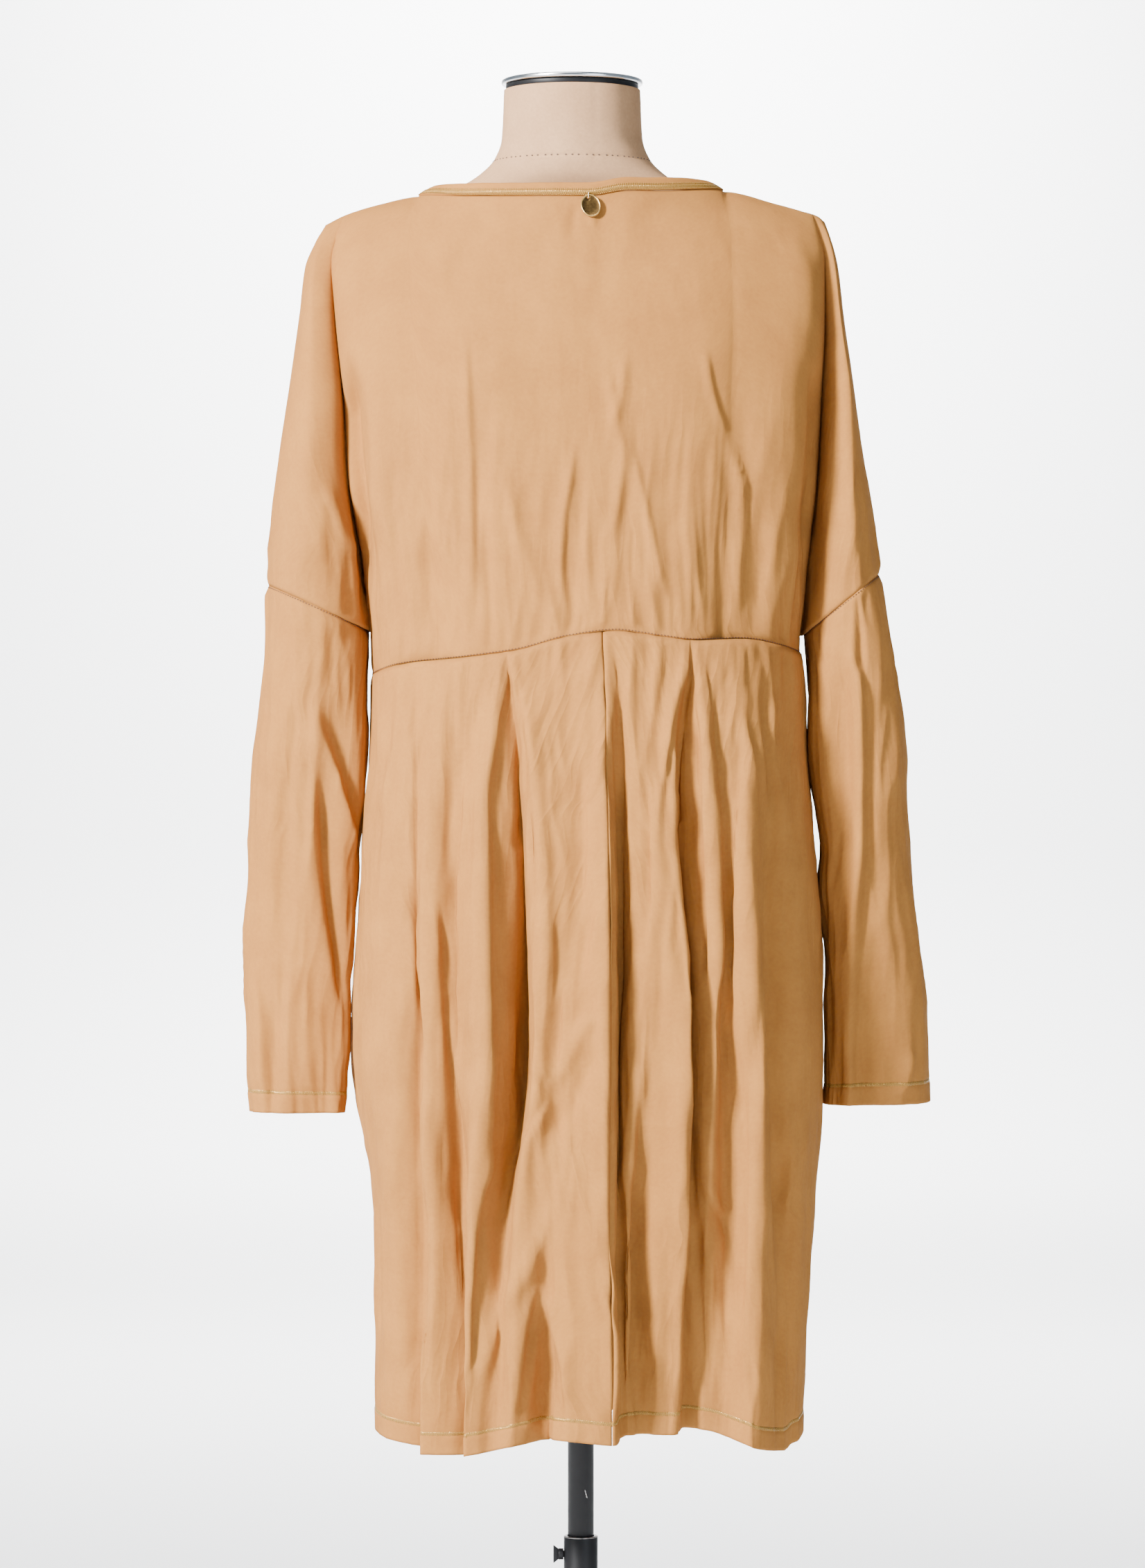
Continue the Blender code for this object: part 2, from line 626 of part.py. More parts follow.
def sleeve(table, seam, cuff):
    """Outer surface of a sleeve: 0 outer edge, 1 back crest, 2 inner edge, 3 front crest."""
    read = columns(table)

    def plan(turn, down):
        outer, outer_y, inner, inner_y, back, back_depth, front, front_depth = (
            column(down) for column in read
        )
        turn %= 4
        start, end, crest, depth = (
            ((outer, outer_y), None, back, -back_depth),
            (None, (inner, inner_y), back, -back_depth),
            ((inner, inner_y), None, front, front_depth),
            (None, (outer, outer_y), front, front_depth),
        )[int(turn)]
        angle = (turn - int(turn)) * math.pi / 2
        if end is None:
            reach, rise = math.cos(angle), math.sin(angle)
            end = start
        else:
            reach, rise = math.sin(angle), math.cos(angle)
        return crest + (end[0] - crest) * reach, end[1] + (depth - end[1]) * rise

    def surface(turn, down):
        down = min(max(down, 0.0), 1.0)
        x, y = plan(turn, down)
        return Vector((x, y, blend(seam(plan(turn, 0.0)[0]), cuff, down)))

    return surface


# ---------------------------------------------------------------- panels

def level(x):
    """Height of a hem or cuff as far as its wall's edge goes: it doesn't slope."""
    return 0.0


def seam_out(surface, u, v, outward, height_at):
    """Direction of the wall's edge at a seam or hem that runs across.

    It is square to the seam in plan and lies in the seam's own sloping surface, so two
    pieces that meet there get parallel edges.
    """
    across = surface(u + 0.01, v) - surface(u - 0.01, v)
    n = Vector((across.y, -across.x, 0.0)).normalized()
    n = -n if n.dot(outward) < 0 else n
    x = surface(u, v).x
    n.z = (height_at(x) - height_at(x - CLOTH * n.x)) / CLOTH
    return n


def in_shoulder_plane(direction):
    """The same direction without its part to the back or front, for a shoulder seam."""
    return Vector((direction.x, 0.0, direction.z)).normalized()


def make_bodice(name, side, rows, steps):
    """Back or front bodice with the upper sleeves; its rows narrow below the underarm."""
    surface = bodice(side)
    waist = partial(waist_at, side)
    places = shares(*steps)
    points, outward = [], []
    for v in rows:
        row, directions = [], []
        for u in places:
            if v > UNDERARM and not 2 <= u <= 5:
                row.append(None)
                directions.append(None)
                continue
            p = surface(u, v)
            n = -side * normal_of(surface, u, v)
            if u in (2, 5):
                sides = (u - VALLEY_REACH, u + VALLEY_REACH)
                n = -side * sum((normal_of(surface, s, v) for s in sides), Vector()).normalized()
            on_shoulder = v == 0 and not 3 < u < 4
            if on_shoulder or u in (0, 7):
                p.y = side * SEAM / 2
                n = in_shoulder_plane(n)
                if v == 0 and u in (0, 7):
                    n = Vector((-1.0 if u == 0 else 1.0, 0.0, 1.0)).normalized()
            if v > UNDERARM and u in (2, 5):
                p.y = side * SEAM / 2
                n = Vector((-1.0 if u == 2 else 1.0, 0.0, 0.0))
            if v == 1 or (v == UNDERARM and not 2 <= u <= 5):
                seam = waist if v == 1 else (drop_left if u < 2 else drop_right)
                n = seam_out(surface, u, v, n, seam)
                p.z += SEAM / 2
            row.append(p)
            directions.append(n)
        points.append(row)
        outward.append(directions)
    return wall(name, points, outward, CLOTH, jersey)


def make_skirt(name, side, folds, steps, rows, first, last):
    """One skirt panel between two of the fold lines; its ends are a side or centre seam."""
    surface = skirt(side, folds)
    waist = partial(waist_at, side)
    stations = [s for s in shares(*steps) if first <= s <= last]
    points, outward = [], []
    for down in rows:
        row, directions = [], []
        for number in stations:
            p = surface(number, down)
            n = -side * normal_of(surface, number, down)
            if number in (0, len(folds) - 1):
                p.y = side * SEAM / 2
                n = Vector((-1.0 if number == 0 else 1.0, 0.0, 0.0))
            elif number in (first, last):
                p.x += SEAM / 2 if number == first else -SEAM / 2
                n = Vector((0.0, side, 0.0))
            if number not in (first, last) and down in (0, 1):
                n = seam_out(surface, number, down, n, waist if down == 0 else level)
            if down == 0:
                p.z -= SEAM / 2
            row.append(p)
            directions.append(n)
        points.append(row)
        outward.append(directions)
    return wall(name, points, outward, CLOTH, jersey)


def make_sleeve(name, table, seam, cuff, rows, quarter_steps):
    """Sleeve in one piece all round, from its dropped armhole seam to the cuff."""
    surface = sleeve(table, seam, cuff)
    stations = shares(*quarter_steps)[:-1]
    points, outward = [], []
    for down in rows:
        row = [surface(turn, down) for turn in stations]
        middle = sum(row, Vector()) / len(row)
        directions = []
        for turn, p in zip(stations, row):
            n = normal_of(surface, turn, down)
            n = -n if n.dot(p - middle) < 0 else n
            if down in (0, 1):
                n = seam_out(surface, turn, down, n, seam if down == 0 else level)
            directions.append(n)
            if down == 0:
                p.z -= SEAM / 2
        points.append(row)
        outward.append(directions)
    return wall(name, points, outward, CLOTH, jersey, closed=True)


def make_binding(name, steps):
    """Band on the neck edge with the edge's own corners, upright but for the shoulders.

    There it leans towards the neck, as it lies in the slope of the cloth that it binds.
    """
    places = [3 + i / steps for i in range(steps + 1)]
    back_edge = [bodice(BACK)(u, 0.0) for u in places]
    front_edge = [bodice(FRONT)(u, 0.0) for u in reversed(places[1:-1])]
    edge = back_edge + front_edge
    middle = sum(edge, Vector()) / len(edge)
    count = len(edge)
    outs, ups = [], []
    for i in range(count):
        along = edge[(i + 1) % count] - edge[i - 1]
        n = Vector((along.y, -along.x, 0.0)).normalized()
        n = -n if n.dot(edge[i] - middle) < 0 else n
        lean = BINDING_LEAN * (1.0 - neck_share(edge[i].x)) ** 2
        outs.append(Vector((n.x * math.cos(lean), n.y * math.cos(lean), math.sin(lean))))
        ups.append(Vector((-n.x * math.sin(lean), -n.y * math.sin(lean), math.cos(lean))))
    points = [
        [p + proud * n + rise * up for p, n, up in zip(edge, outs, ups)]
        for proud, rise in (
            (BINDING_PROUD, BINDING_HEIGHT),
            (BINDING_CROWN, BINDING_HEIGHT * 0.5),
            (BINDING_PROUD, BINDING_FOOT),
        )
    ]
    return wall(name, points, [outs] * 3, BINDING_CLOTH, jersey, closed=True)


# ---------------------------------------------------------------- form and stand

def make_form(name):
    """Limbless trunk with a short neck, one closed solid."""
    half_width, back, front = columns(FORM)
    heights = sorted([row[0] for row in FORM] + list(FORM_EXTRA_RINGS))
    rings = []
    for height in heights:
        ring = []
        for i in range(FORM_SIDES):
            angle = math.tau * i / FORM_SIDES
            share = math.cos(angle)
            neck = min(1.0, max(0.0, (height - NECK_START) / (NECK_ROUND - NECK_START)))
            bulge = round_off(share, blend(FORM_SQUARENESS, 2.0, neck))
            depth = front(height) if angle < math.pi else -back(height)
            ring.append((FORM_X + half_width(height) * share, depth * bulge, height))
        rings.append(ring)
    return loft(name, rings, linen)


def cutter(name, made):
    """Move a freshly made primitive to the cutters, out of sight."""
    made.name = name
    for collection in list(made.users_collection):
        collection.objects.unlink(made)
    cutters.objects.link(made)
    made.hide_render = True
    made.display_type = "WIRE"
    return made


def cut(target, tool):
    boolean = target.modifiers.new("Cut", "BOOLEAN")
    boolean.operation = "DIFFERENCE"
    boolean.object = tool


def make_stand():
    """Sliding pole, outer tube and round base; the tube is returned for its screw hole."""
    turned("pole", (
        (0.0, FORM[0][0] - TOUCH),
        (FLANGE_RADIUS, FORM[0][0] - TOUCH),
        (FLANGE_RADIUS, FORM[0][0] - TOUCH - FLANGE_THICKNESS),
        (POLE_RADIUS + 0.003, FORM[0][0] - FLANGE_THICKNESS - 0.002),
        (POLE_RADIUS, FORM[0][0] - FLANGE_THICKNESS - 0.010),
        (POLE_RADIUS, POLE_BOTTOM),
        (0.0, POLE_BOTTOM),
    ), black_paint, sides=24)
    tube = turned("outer_tube", (
        (TUBE_INNER, TUBE_TOP),
        (TUBE_OUTER - 0.0006, TUBE_TOP),
        (TUBE_OUTER, TUBE_TOP - 0.0006),
        (TUBE_OUTER, TUBE_BOTTOM),
        (TUBE_INNER, TUBE_BOTTOM),
    ), black_paint, sides=24)
    turned("base", (
        (0.0, TUBE_BOTTOM - TOUCH),
        (TUBE_OUTER + TOUCH, TUBE_BOTTOM - TOUCH),
        (TUBE_OUTER + TOUCH, BASE_BOSS_TOP),
        (BASE_BOSS_RADIUS - 0.006, BASE_BOSS_TOP),
        (BASE_BOSS_RADIUS - 0.002, BASE_BOSS_TOP - 0.003),
        (BASE_BOSS_RADIUS, BASE_BOSS_TOP - 0.016),
        (BASE_BOSS_RADIUS + 0.020, BASE_BOSS_TOP - 0.026),
        (BASE_RADIUS - 0.040, BASE_EDGE + 0.006),
        (BASE_RADIUS - 0.004, BASE_EDGE + 0.001),
        (BASE_RADIUS, BASE_EDGE - 0.002),
        (BASE_RADIUS, 0.0),
        (0.0, 0.0),
    ), black_paint, sides=36)
    return tube


def make_lock_screw(tube):
    """Wing screw with its axis along X, through the side of the outer tube."""
    outwards = (0.0, -math.pi / 2, 0.0)
    bpy.ops.mesh.primitive_cylinder_add(
        vertices=16, radius=SCREW_HOLE, depth=0.010,
        location=(-TUBE_OUTER, 0.0, SCREW_HEIGHT), rotation=outwards,
    )
    cut(tube, cutter("lock_screw_hole", bpy.context.object))
    seat = TUBE_OUTER + TOUCH
    head = seat + SCREW_HEAD_LENGTH
    screw = turned("lock_screw", (
        (0.0, head),
        (SCREW_HEAD_RADIUS, head),
        (SCREW_HEAD_RADIUS, seat),
        (SCREW_RADIUS, seat),
        (SCREW_RADIUS, POLE_RADIUS + TOUCH),
        (0.0, POLE_RADIUS + TOUCH),
    ), black_paint, sides=16)
    shape = bmesh.new()
    bmesh.ops.create_cube(shape, size=1.0)
    for vert in shape.verts:
        spread = 1.0 if vert.co.z > 0 else 0.45
        vert.co.x *= WING_SPAN * spread
        vert.co.y *= WING_THICKNESS
        vert.co.z = head - 0.001 + (vert.co.z + 0.5) * WING_REACH
    wing = bpy.data.objects.new("lock_screw_wing", mesh_of("lock_screw_wing", shape))
    cutters.objects.link(wing)
    wing.hide_render = True
    wing.display_type = "WIRE"
    for made in (screw, wing):
        made.rotation_euler = outwards
        made.location.z = SCREW_HEIGHT
    union = screw.modifiers.new("Wing", "BOOLEAN")
    union.operation = "UNION"
    union.object = wing


def make_neck_top():
    """Cap that closes the form's neck and the ring that lies on the cap's step."""
    top = FORM[-1][0]
    turned("neck_cap", (
        (0.0, top + CAP_HEIGHT),
        (CAP_NECK_RADIUS, top + CAP_HEIGHT),
        (CAP_NECK_RADIUS, top + CAP_STEP),
        (CAP_RADIUS, top + CAP_STEP),
        (CAP_RADIUS, top + TOUCH),
        (0.0, top + TOUCH),
    ), black_paint, sides=32, axis_at=(FORM_X, 0.0))
    low = top + CAP_STEP + TOUCH
    turned("neck_ring", (
        (RING_INNER, low + RING_THICKNESS),
        (RING_OUTER - 0.001, low + RING_THICKNESS),
        (RING_OUTER, low + RING_THICKNESS - 0.001),
        (RING_OUTER, low + 0.0008),
        (RING_OUTER - 0.0008, low),
        (RING_INNER, low),
    ), chrome, sides=36, axis_at=(FORM_X, 0.0))


# ---------------------------------------------------------------- charm


def binding_face(x):
    """Y of the binding's outer face at one place across the back of the neck."""
    edge = [bodice(BACK)(3 + i / BODICE_STEPS[3], 0.0) for i in range(BODICE_STEPS[3] + 1)]
    for start, end in zip(edge, edge[1:]):
        if x <= end.x:
            break
    return blend(start.y, end.y, (x - start.x) / (end.x - start.x)) - BINDING_CROWN


def make_charm():
    """Oval disc with a raised rim on a sewn loop of thread, lying on the upper back."""
    across = Vector((1.0, 0.0, 0.0))
    edge_y = binding_face(CHARM_ACROSS)
    lean = Vector((0.0, -math.sin(LOOP_LEAN), -math.cos(LOOP_LEAN)))
    stitch = Vector((CHARM_ACROSS, edge_y - LOOP_THREAD - LOOP_CLEARANCE, STITCH_HEIGHT))
    hole = stitch + 2 * LOOP_HALF_LENGTH * lean

    data = bpy.data.curves.new("charm_loop", "CURVE")
    data.dimensions = "3D"
    spline = data.splines.new("POLY")
    turns = 14
    spline.points.add(turns - 1)
    middle = stitch + LOOP_HALF_LENGTH * lean
    aside = across.cross(lean)
    for i, point in enumerate(spline.points):
        angle = math.tau * i / turns
        place = (
            middle
            + LOOP_HALF_LENGTH * math.cos(angle) * lean
            + LOOP_HALF_WIDTH * math.sin(angle) * aside
        )
        point.co = (*place, 1.0)
    spline.use_cyclic_u = True
    data.bevel_depth = LOOP_THREAD
    data.bevel_resolution = 1
    data.resolution_u = 1
    data.render_resolution_u = 0
    data.materials.append(thread)
    loop = bpy.data.objects.new("charm_loop", data)
    parts.objects.link(loop)

    tip = bodice(BACK)(3.5, 0.0)
    down = hole.z - CHARM_LENGTH * 0.9
    share = (tip.z - down) / (tip.z - waist_at(BACK, CHARM_ACROSS))
    cloth = bodice(BACK)(3.5, share)
    rest = Vector((hole.x, cloth.y - CHARM_THICKNESS - 0.0010, cloth.z))
    fall = (rest - hole).normalized()
    long_way = (fall * math.cos(CHARM_TILT) + across * math.sin(CHARM_TILT)).normalized()
    face = across.cross(fall).normalized()
    face = -face if face.y > 0 else face
    wide_way = long_way.cross(face).normalized()
    centre = hole + long_way * (CHARM_LENGTH / 2 - CHARM_HOLE_INSET)
    half = CHARM_THICKNESS / 2
    rings = []
    for size, rise in (
        (0.95, -half), (1.0, -half + 0.0003), (1.0, half + CHARM_RIM - 0.0002),
        (0.97, half + CHARM_RIM), (0.89, half + CHARM_RIM), (0.85, half),
    ):
        ring = []
        for i in range(28):
            angle = math.tau * i / 28
            ring.append(
                centre + rise * face
                + size * CHARM_WIDTH / 2 * math.cos(angle) * wide_way
                + size * CHARM_LENGTH / 2 * math.sin(angle) * long_way
            )
        rings.append(ring)
    charm = loft("charm", rings, brass)
    bpy.ops.mesh.primitive_cylinder_add(vertices=10, radius=CHARM_HOLE, depth=0.006)
    tool = cutter("charm_hole", bpy.context.object)
    tool.rotation_euler = face.to_track_quat("Z", "Y").to_euler()
    tool.location = hole
    cut(charm, tool)


# ---------------------------------------------------------------- the whole object

parts = bpy.data.collections.new("dress_on_form")
cutters = bpy.data.collections.new("cutters")
bpy.context.scene.collection.children.link(parts)
bpy.context.scene.collection.children.link(cutters)

jersey = material("jersey", (0.55, 0.30, 0.14), 0.9)
linen = material("linen", (0.50, 0.42, 0.36), 0.95)
black_paint = material("black_paint", (0.02, 0.02, 0.022), 0.4, 0.3)
chrome = material("chrome", (0.75, 0.76, 0.78), 0.12, 1.0)
brass = material("aged_brass", (0.42, 0.28, 0.12), 0.4, 1.0)
thread = material("thread", (0.78, 0.66, 0.48), 0.8)

LAST_BACK = len(BACK_FOLDS) - 1
LAST_FRONT = len(FRONT_FOLDS) - 1

make_bodice("back_bodice", BACK, BODICE_ROWS, BODICE_STEPS)
make_bodice("front_bodice", FRONT, BODICE_ROWS, BODICE_STEPS)
make_binding("neck_binding", BODICE_STEPS[3])
make_skirt("back_skirt_left", BACK, BACK_FOLDS, BACK_STEPS, SKIRT_ROWS, 0, CENTRE_BACK)
make_skirt("back_skirt_right", BACK, BACK_FOLDS, BACK_STEPS, SKIRT_ROWS, CENTRE_BACK, LAST_BACK)
make_skirt("front_skirt", FRONT, FRONT_FOLDS, FRONT_STEPS, SKIRT_ROWS, 0, LAST_FRONT)
make_sleeve(
    "sleeve_left", SLEEVE_LEFT, drop_left, CUFF_LEFT, SLEEVE_ROWS, SLEEVE_STEPS,
)
make_sleeve(
    "sleeve_right", SLEEVE_RIGHT, drop_right, CUFF_RIGHT, SLEEVE_ROWS, SLEEVE_STEPS,
)
make_charm()
make_form("form_torso")
make_neck_top()
make_lock_screw(make_stand())
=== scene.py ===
"""A camel jersey dress on a linen-covered dress form, seen from the back.

Metres, +Z up, in the frame of the CAD. The picture's camera looks along +Y, at the back.
"""
import math

import bmesh
import bpy
import numpy as np
from mathutils import Matrix, Vector, noise


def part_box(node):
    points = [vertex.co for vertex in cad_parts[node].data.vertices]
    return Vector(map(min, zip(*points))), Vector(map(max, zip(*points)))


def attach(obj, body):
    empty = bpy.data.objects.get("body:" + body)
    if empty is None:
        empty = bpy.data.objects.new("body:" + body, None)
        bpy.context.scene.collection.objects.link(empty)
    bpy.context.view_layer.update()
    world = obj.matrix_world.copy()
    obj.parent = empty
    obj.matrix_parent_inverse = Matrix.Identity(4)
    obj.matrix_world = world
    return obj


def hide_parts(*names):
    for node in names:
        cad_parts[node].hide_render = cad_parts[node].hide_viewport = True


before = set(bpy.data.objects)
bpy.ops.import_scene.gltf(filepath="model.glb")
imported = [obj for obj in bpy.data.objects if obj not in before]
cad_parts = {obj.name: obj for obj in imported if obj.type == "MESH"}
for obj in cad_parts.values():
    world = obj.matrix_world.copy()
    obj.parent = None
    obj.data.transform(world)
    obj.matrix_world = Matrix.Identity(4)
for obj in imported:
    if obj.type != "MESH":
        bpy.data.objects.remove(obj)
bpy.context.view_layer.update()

# ================================================================ camera, floor and light
# The photograph was taken level, from a little under the dress's middle, with a long lens.
# A pale floor runs up into a pale wall, and soft light falls from the upper left.

CAMERA = Vector((-0.0067, -4.3, 0.970))
LENS = 122.2               # mm, on a frame 36 mm high

eye = bpy.data.objects.new("camera", bpy.data.cameras.new("camera"))
bpy.context.scene.collection.objects.link(eye)
eye.location = CAMERA
eye.rotation_euler = (math.pi / 2, 0.0, 0.0)
eye.data.lens = LENS
eye.data.sensor_width = 36.0
bpy.context.scene.camera = eye


def principled(name, colour, roughness, **sockets):
    """New material with its Principled shader; colour is linear red, green, blue."""
    made = bpy.data.materials.new(name)
    made.use_nodes = True
    shader = made.node_tree.nodes["Principled BSDF"]
    shader.inputs["Base Color"].default_value = (*colour, 1.0)
    shader.inputs["Roughness"].default_value = roughness
    for socket, value in sockets.items():
        shader.inputs[socket.replace("_", " ")].default_value = value
    return made, shader


def shown(name, shape, *surfaces):
    """Object of a finished bmesh, placed at the origin."""
    mesh = bpy.data.meshes.new(name)
    shape.to_mesh(mesh)
    shape.free()
    for surface in surfaces:
        mesh.materials.append(surface)
    made = bpy.data.objects.new(name, mesh)
    bpy.context.scene.collection.objects.link(made)
    return made


FLOOR_WIDTH, FLOOR_NEAR, WALL_AT, WALL_TOP, SWEEP = 16.0, -9.0, 10.4, 8.0, 0.8
FLAT_STEPS, TURN_STEPS = 4, 16             # of the floor and of the wall; of the turn between

paper = principled("studio_paper", (0.86, 0.86, 0.86), 0.9)[0]
sweep = bmesh.new()
wall_step = FLAT_STEPS + TURN_STEPS
sweep_steps = wall_step + FLAT_STEPS
bmesh.ops.create_grid(sweep, x_segments=1, y_segments=sweep_steps, size=1.0)
for vert in sweep.verts:
    along = (vert.co.y + 1) / 2 * sweep_steps
    turn = min(max((along - FLAT_STEPS) / TURN_STEPS, 0.0), 1.0) * math.pi / 2
    rise = max(0.0, along - wall_step) / FLAT_STEPS * (WALL_TOP - SWEEP)
    back = min(1.0, along / FLAT_STEPS) * (WALL_AT - SWEEP - FLOOR_NEAR) + FLOOR_NEAR
    vert.co = Vector((
        vert.co.x * FLOOR_WIDTH / 2,
        back + SWEEP * math.sin(turn),
        SWEEP * (1 - math.cos(turn)) + rise,
    ))
floor = shown("studio_floor", sweep, paper)
floor.data.shade_smooth()


def soft_light(name, place, aim, size, power, spread=180, colour=(1.0, 1.0, 1.0)):
    """Round lamp, whose light spreads over the given angle in degrees."""
    lamp = bpy.data.lights.new(name, "AREA")
    lamp.shape = "DISK"
    lamp.size = size
    lamp.energy = power
    lamp.spread = math.radians(spread)
    lamp.color = colour
    made = bpy.data.objects.new(name, lamp)
    made.location = place
    made.rotation_euler = (Vector(aim) - Vector(place)).to_track_quat("-Z", "Y").to_euler()
    bpy.context.scene.collection.objects.link(made)


soft_light("key", (-3.1, -2.9, 3.0), (0.0, 0.0, 1.0), 0.8, 960.0)
soft_light("fill", (2.6, -3.4, 1.8), (0.0, 0.0, 0.9), 2.4, 62.0, colour=(0.80, 0.90, 1.0))
soft_light("top", (-0.4, -0.6, 3.6), (0.0, 0.0, 1.2), 1.4, 40.0)
soft_light("wall", (0.0, 8.0, 4.4), (0.0, 10.4, 1.3), 2.6, 700.0, 130)
soft_light("floor", (0.0, 4.6, 4.2), (0.0, 5.0, 0.0), 3.0, 420.0, 110)
world = bpy.data.worlds.new("studio")
world.use_nodes = True
world.node_tree.nodes["Background"].inputs["Color"].default_value = (0.72, 0.86, 1.0, 1.0)
world.node_tree.nodes["Background"].inputs["Strength"].default_value = 0.34
bpy.context.scene.world = world

# ================================================================ dress form
# A limbless trunk, padded and covered with twill-woven linen that is sewn along the back
# and round the neck, and closed at the neck with a black cap under a chrome ring.

FORM = (
    # height, half width, back depth, front depth
    (0.800, 0.140, 0.092, 0.088),
    (0.860, 0.153, 0.100, 0.096),
    (0.930, 0.156, 0.101, 0.098),
    (1.020, 0.140, 0.090, 0.092),
    (1.100, 0.124, 0.080, 0.088),
    (1.150, 0.121, 0.078, 0.088),
    (1.220, 0.134, 0.086, 0.104),
    (1.290, 0.150, 0.096, 0.116),
    (1.350, 0.168, 0.092, 0.096),
    (1.385, 0.184, 0.074, 0.074),
    (1.405, 0.185, 0.056, 0.056),
    (1.4203, 0.176, 0.046, 0.045),
    (1.4293, 0.158, 0.042, 0.042),
    (1.4353, 0.138, 0.042, 0.041),
    (1.4411, 0.119, 0.044, 0.041),
    (1.448, 0.099, 0.049, 0.046),
    (1.460, 0.077, 0.054, 0.051),
    (1.474, 0.063, 0.056, 0.055),
    (1.490, 0.057, 0.055, 0.055),
    (1.530, 0.055, 0.055, 0.055),
)
FORM_X = -0.0070
FORM_SQUARENESS = 2.3
NECK_START, NECK_ROUND = 1.440, 1.480
FORM_SIDES, FORM_RINGS, NECK_SIDES = 128, 180, 240
NECK_SEAM_HEIGHT = 1.4722
BACK_SEAM_X = 0.0115       # the seam down the form's back, which faces a little to the right
FORM_SEAM_WIDTH, BACK_SEAM_DEPTH = 0.0010, 0.0005
NECK_SEAM_SHARE = 0.008    # of the neck's radius, by which its seam sinks in
SEAM_STITCH = 0.0052       # from one needle hole of the neck seam to the next


def curve(stations, values):
    """Smooth curve through the given values that never overshoots them."""
    count = len(stations)
    steps = [stations[i + 1] - stations[i] for i in range(count - 1)]
    rises = [(values[i + 1] - values[i]) / steps[i] for i in range(count - 1)]
    slopes = [rises[0]] + [0.0] * (count - 2) + [rises[-1]]
    for i in range(1, count - 1):
        if rises[i - 1] * rises[i] > 0:
            first = 2 * steps[i] + steps[i - 1]
            second = steps[i] + 2 * steps[i - 1]
            slopes[i] = (first + second) / (first / rises[i - 1] + second / rises[i])

    def value(at):
        at = min(max(at, stations[0]), stations[-1])
        i = 0
        while i < count - 2 and at > stations[i + 1]:
            i += 1
        t = (at - stations[i]) / steps[i]
        return (
            (1 + 2 * t) * (1 - t) ** 2 * values[i]
            + t * (1 - t) ** 2 * steps[i] * slopes[i]
            + t * t * (3 - 2 * t) * values[i + 1]
            + t * t * (t - 1) * steps[i] * slopes[i + 1]
        )

    return value


def columns(rows):
    """One smooth curve for each column of a table, read by its first column."""
    stations = [row[0] for row in rows]
    return [
        curve(stations, [row[column] for row in rows]) for column in range(1, len(rows[0]))
    ]


def blend(start, end, share):
    return start + (end - start) * share


def round_off(share, squareness):
    """Depth of a rounded section, from 1 in its middle to 0 at its edge (share is 1)."""
    return max(0.0, 1.0 - abs(share) ** squareness) ** (1.0 / squareness)


def nodes_of(made):
    """Two short calls: one adds a node to a material or a group, the other feeds a socket.

    The inputs of a new node come by number, where None leaves one as it is, or by name. Each
    is fed with a value, with an output, or with a node, which stands for its first output.
    """
    tree = made.node_tree if hasattr(made, "node_tree") else made

    def feed(socket, given):
        if isinstance(given, bpy.types.Node):
            tree.links.new(given.outputs[0], socket)
        elif isinstance(given, bpy.types.NodeSocket):
            tree.links.new(given, socket)
        else:
            socket.default_value = given

    def add(kind, *numbered, **named):
        node = tree.nodes.new("ShaderNode" + kind)
        for key, given in named.items():
            if hasattr(node, key):
                setattr(node, key, given)
            else:
                feed(node.inputs[key.replace("_", " ")], given)
        for socket, given in zip(node.inputs, numbered):
            if given is not None:
                feed(socket, given)
        return node

    return add, feed


def tinted(made, shader, factor, first, second):
    """Base colour that goes from the first colour to the second one with the factor."""
    add, feed = nodes_of(made)
    tint = add("Mix", data_type="RGBA", A=(*first, 1.0), B=(*second, 1.0), Factor=factor)
    feed(shader.inputs["Base Color"], tint.outputs["Result"])


def node_group(name, inputs, outputs):
    """New group of nodes with its named sockets, and what comes into it and goes out."""
    group = bpy.data.node_groups.new(name, "ShaderNodeTree")
    for sockets, side in ((inputs, "INPUT"), (outputs, "OUTPUT")):
        for label, kind in sockets.items():
            group.interface.new_socket(label, in_out=side, socket_type="NodeSocket" + kind)
    given, out = group.nodes.new("NodeGroupInput"), group.nodes.new("NodeGroupOutput")
    return group, given.outputs, out.inputs


def weave_group():
    """Two crossing sets of threads with slubs: their relief and a mottling."""
    group, given, out = node_group(
        "woven_threads",
        {"Vector": "Vector", "Threads": "Float", "Slant": "Float"},
        {"Height": "Float", "Mottle": "Float"},
    )
    add, feed = nodes_of(group)
    turned_round = add(
        "VectorRotate", rotation_type="Z_AXIS", Vector=given["Vector"], Angle=given["Slant"]
    )
    scaled = add("VectorMath", turned_round, operation="SCALE", Scale=given["Threads"])
    twist, across = [
        add(
            "TexWave", wave_type="BANDS", bands_direction=axis, Vector=scaled, Scale=1.0,
            Distortion=distortion, Detail=detail,
        )
        for axis, distortion, detail in (("X", 1.2, 1.0), ("Y", 0.8, 2.0))
    ]
    both = add("Math", twist.outputs["Fac"], across.outputs["Fac"], operation="MULTIPLY")
    feed(out["Height"], both)
    feed(out["Mottle"], add("TexNoise", Vector=scaled, Scale=0.35, Detail=3.0))
    return group


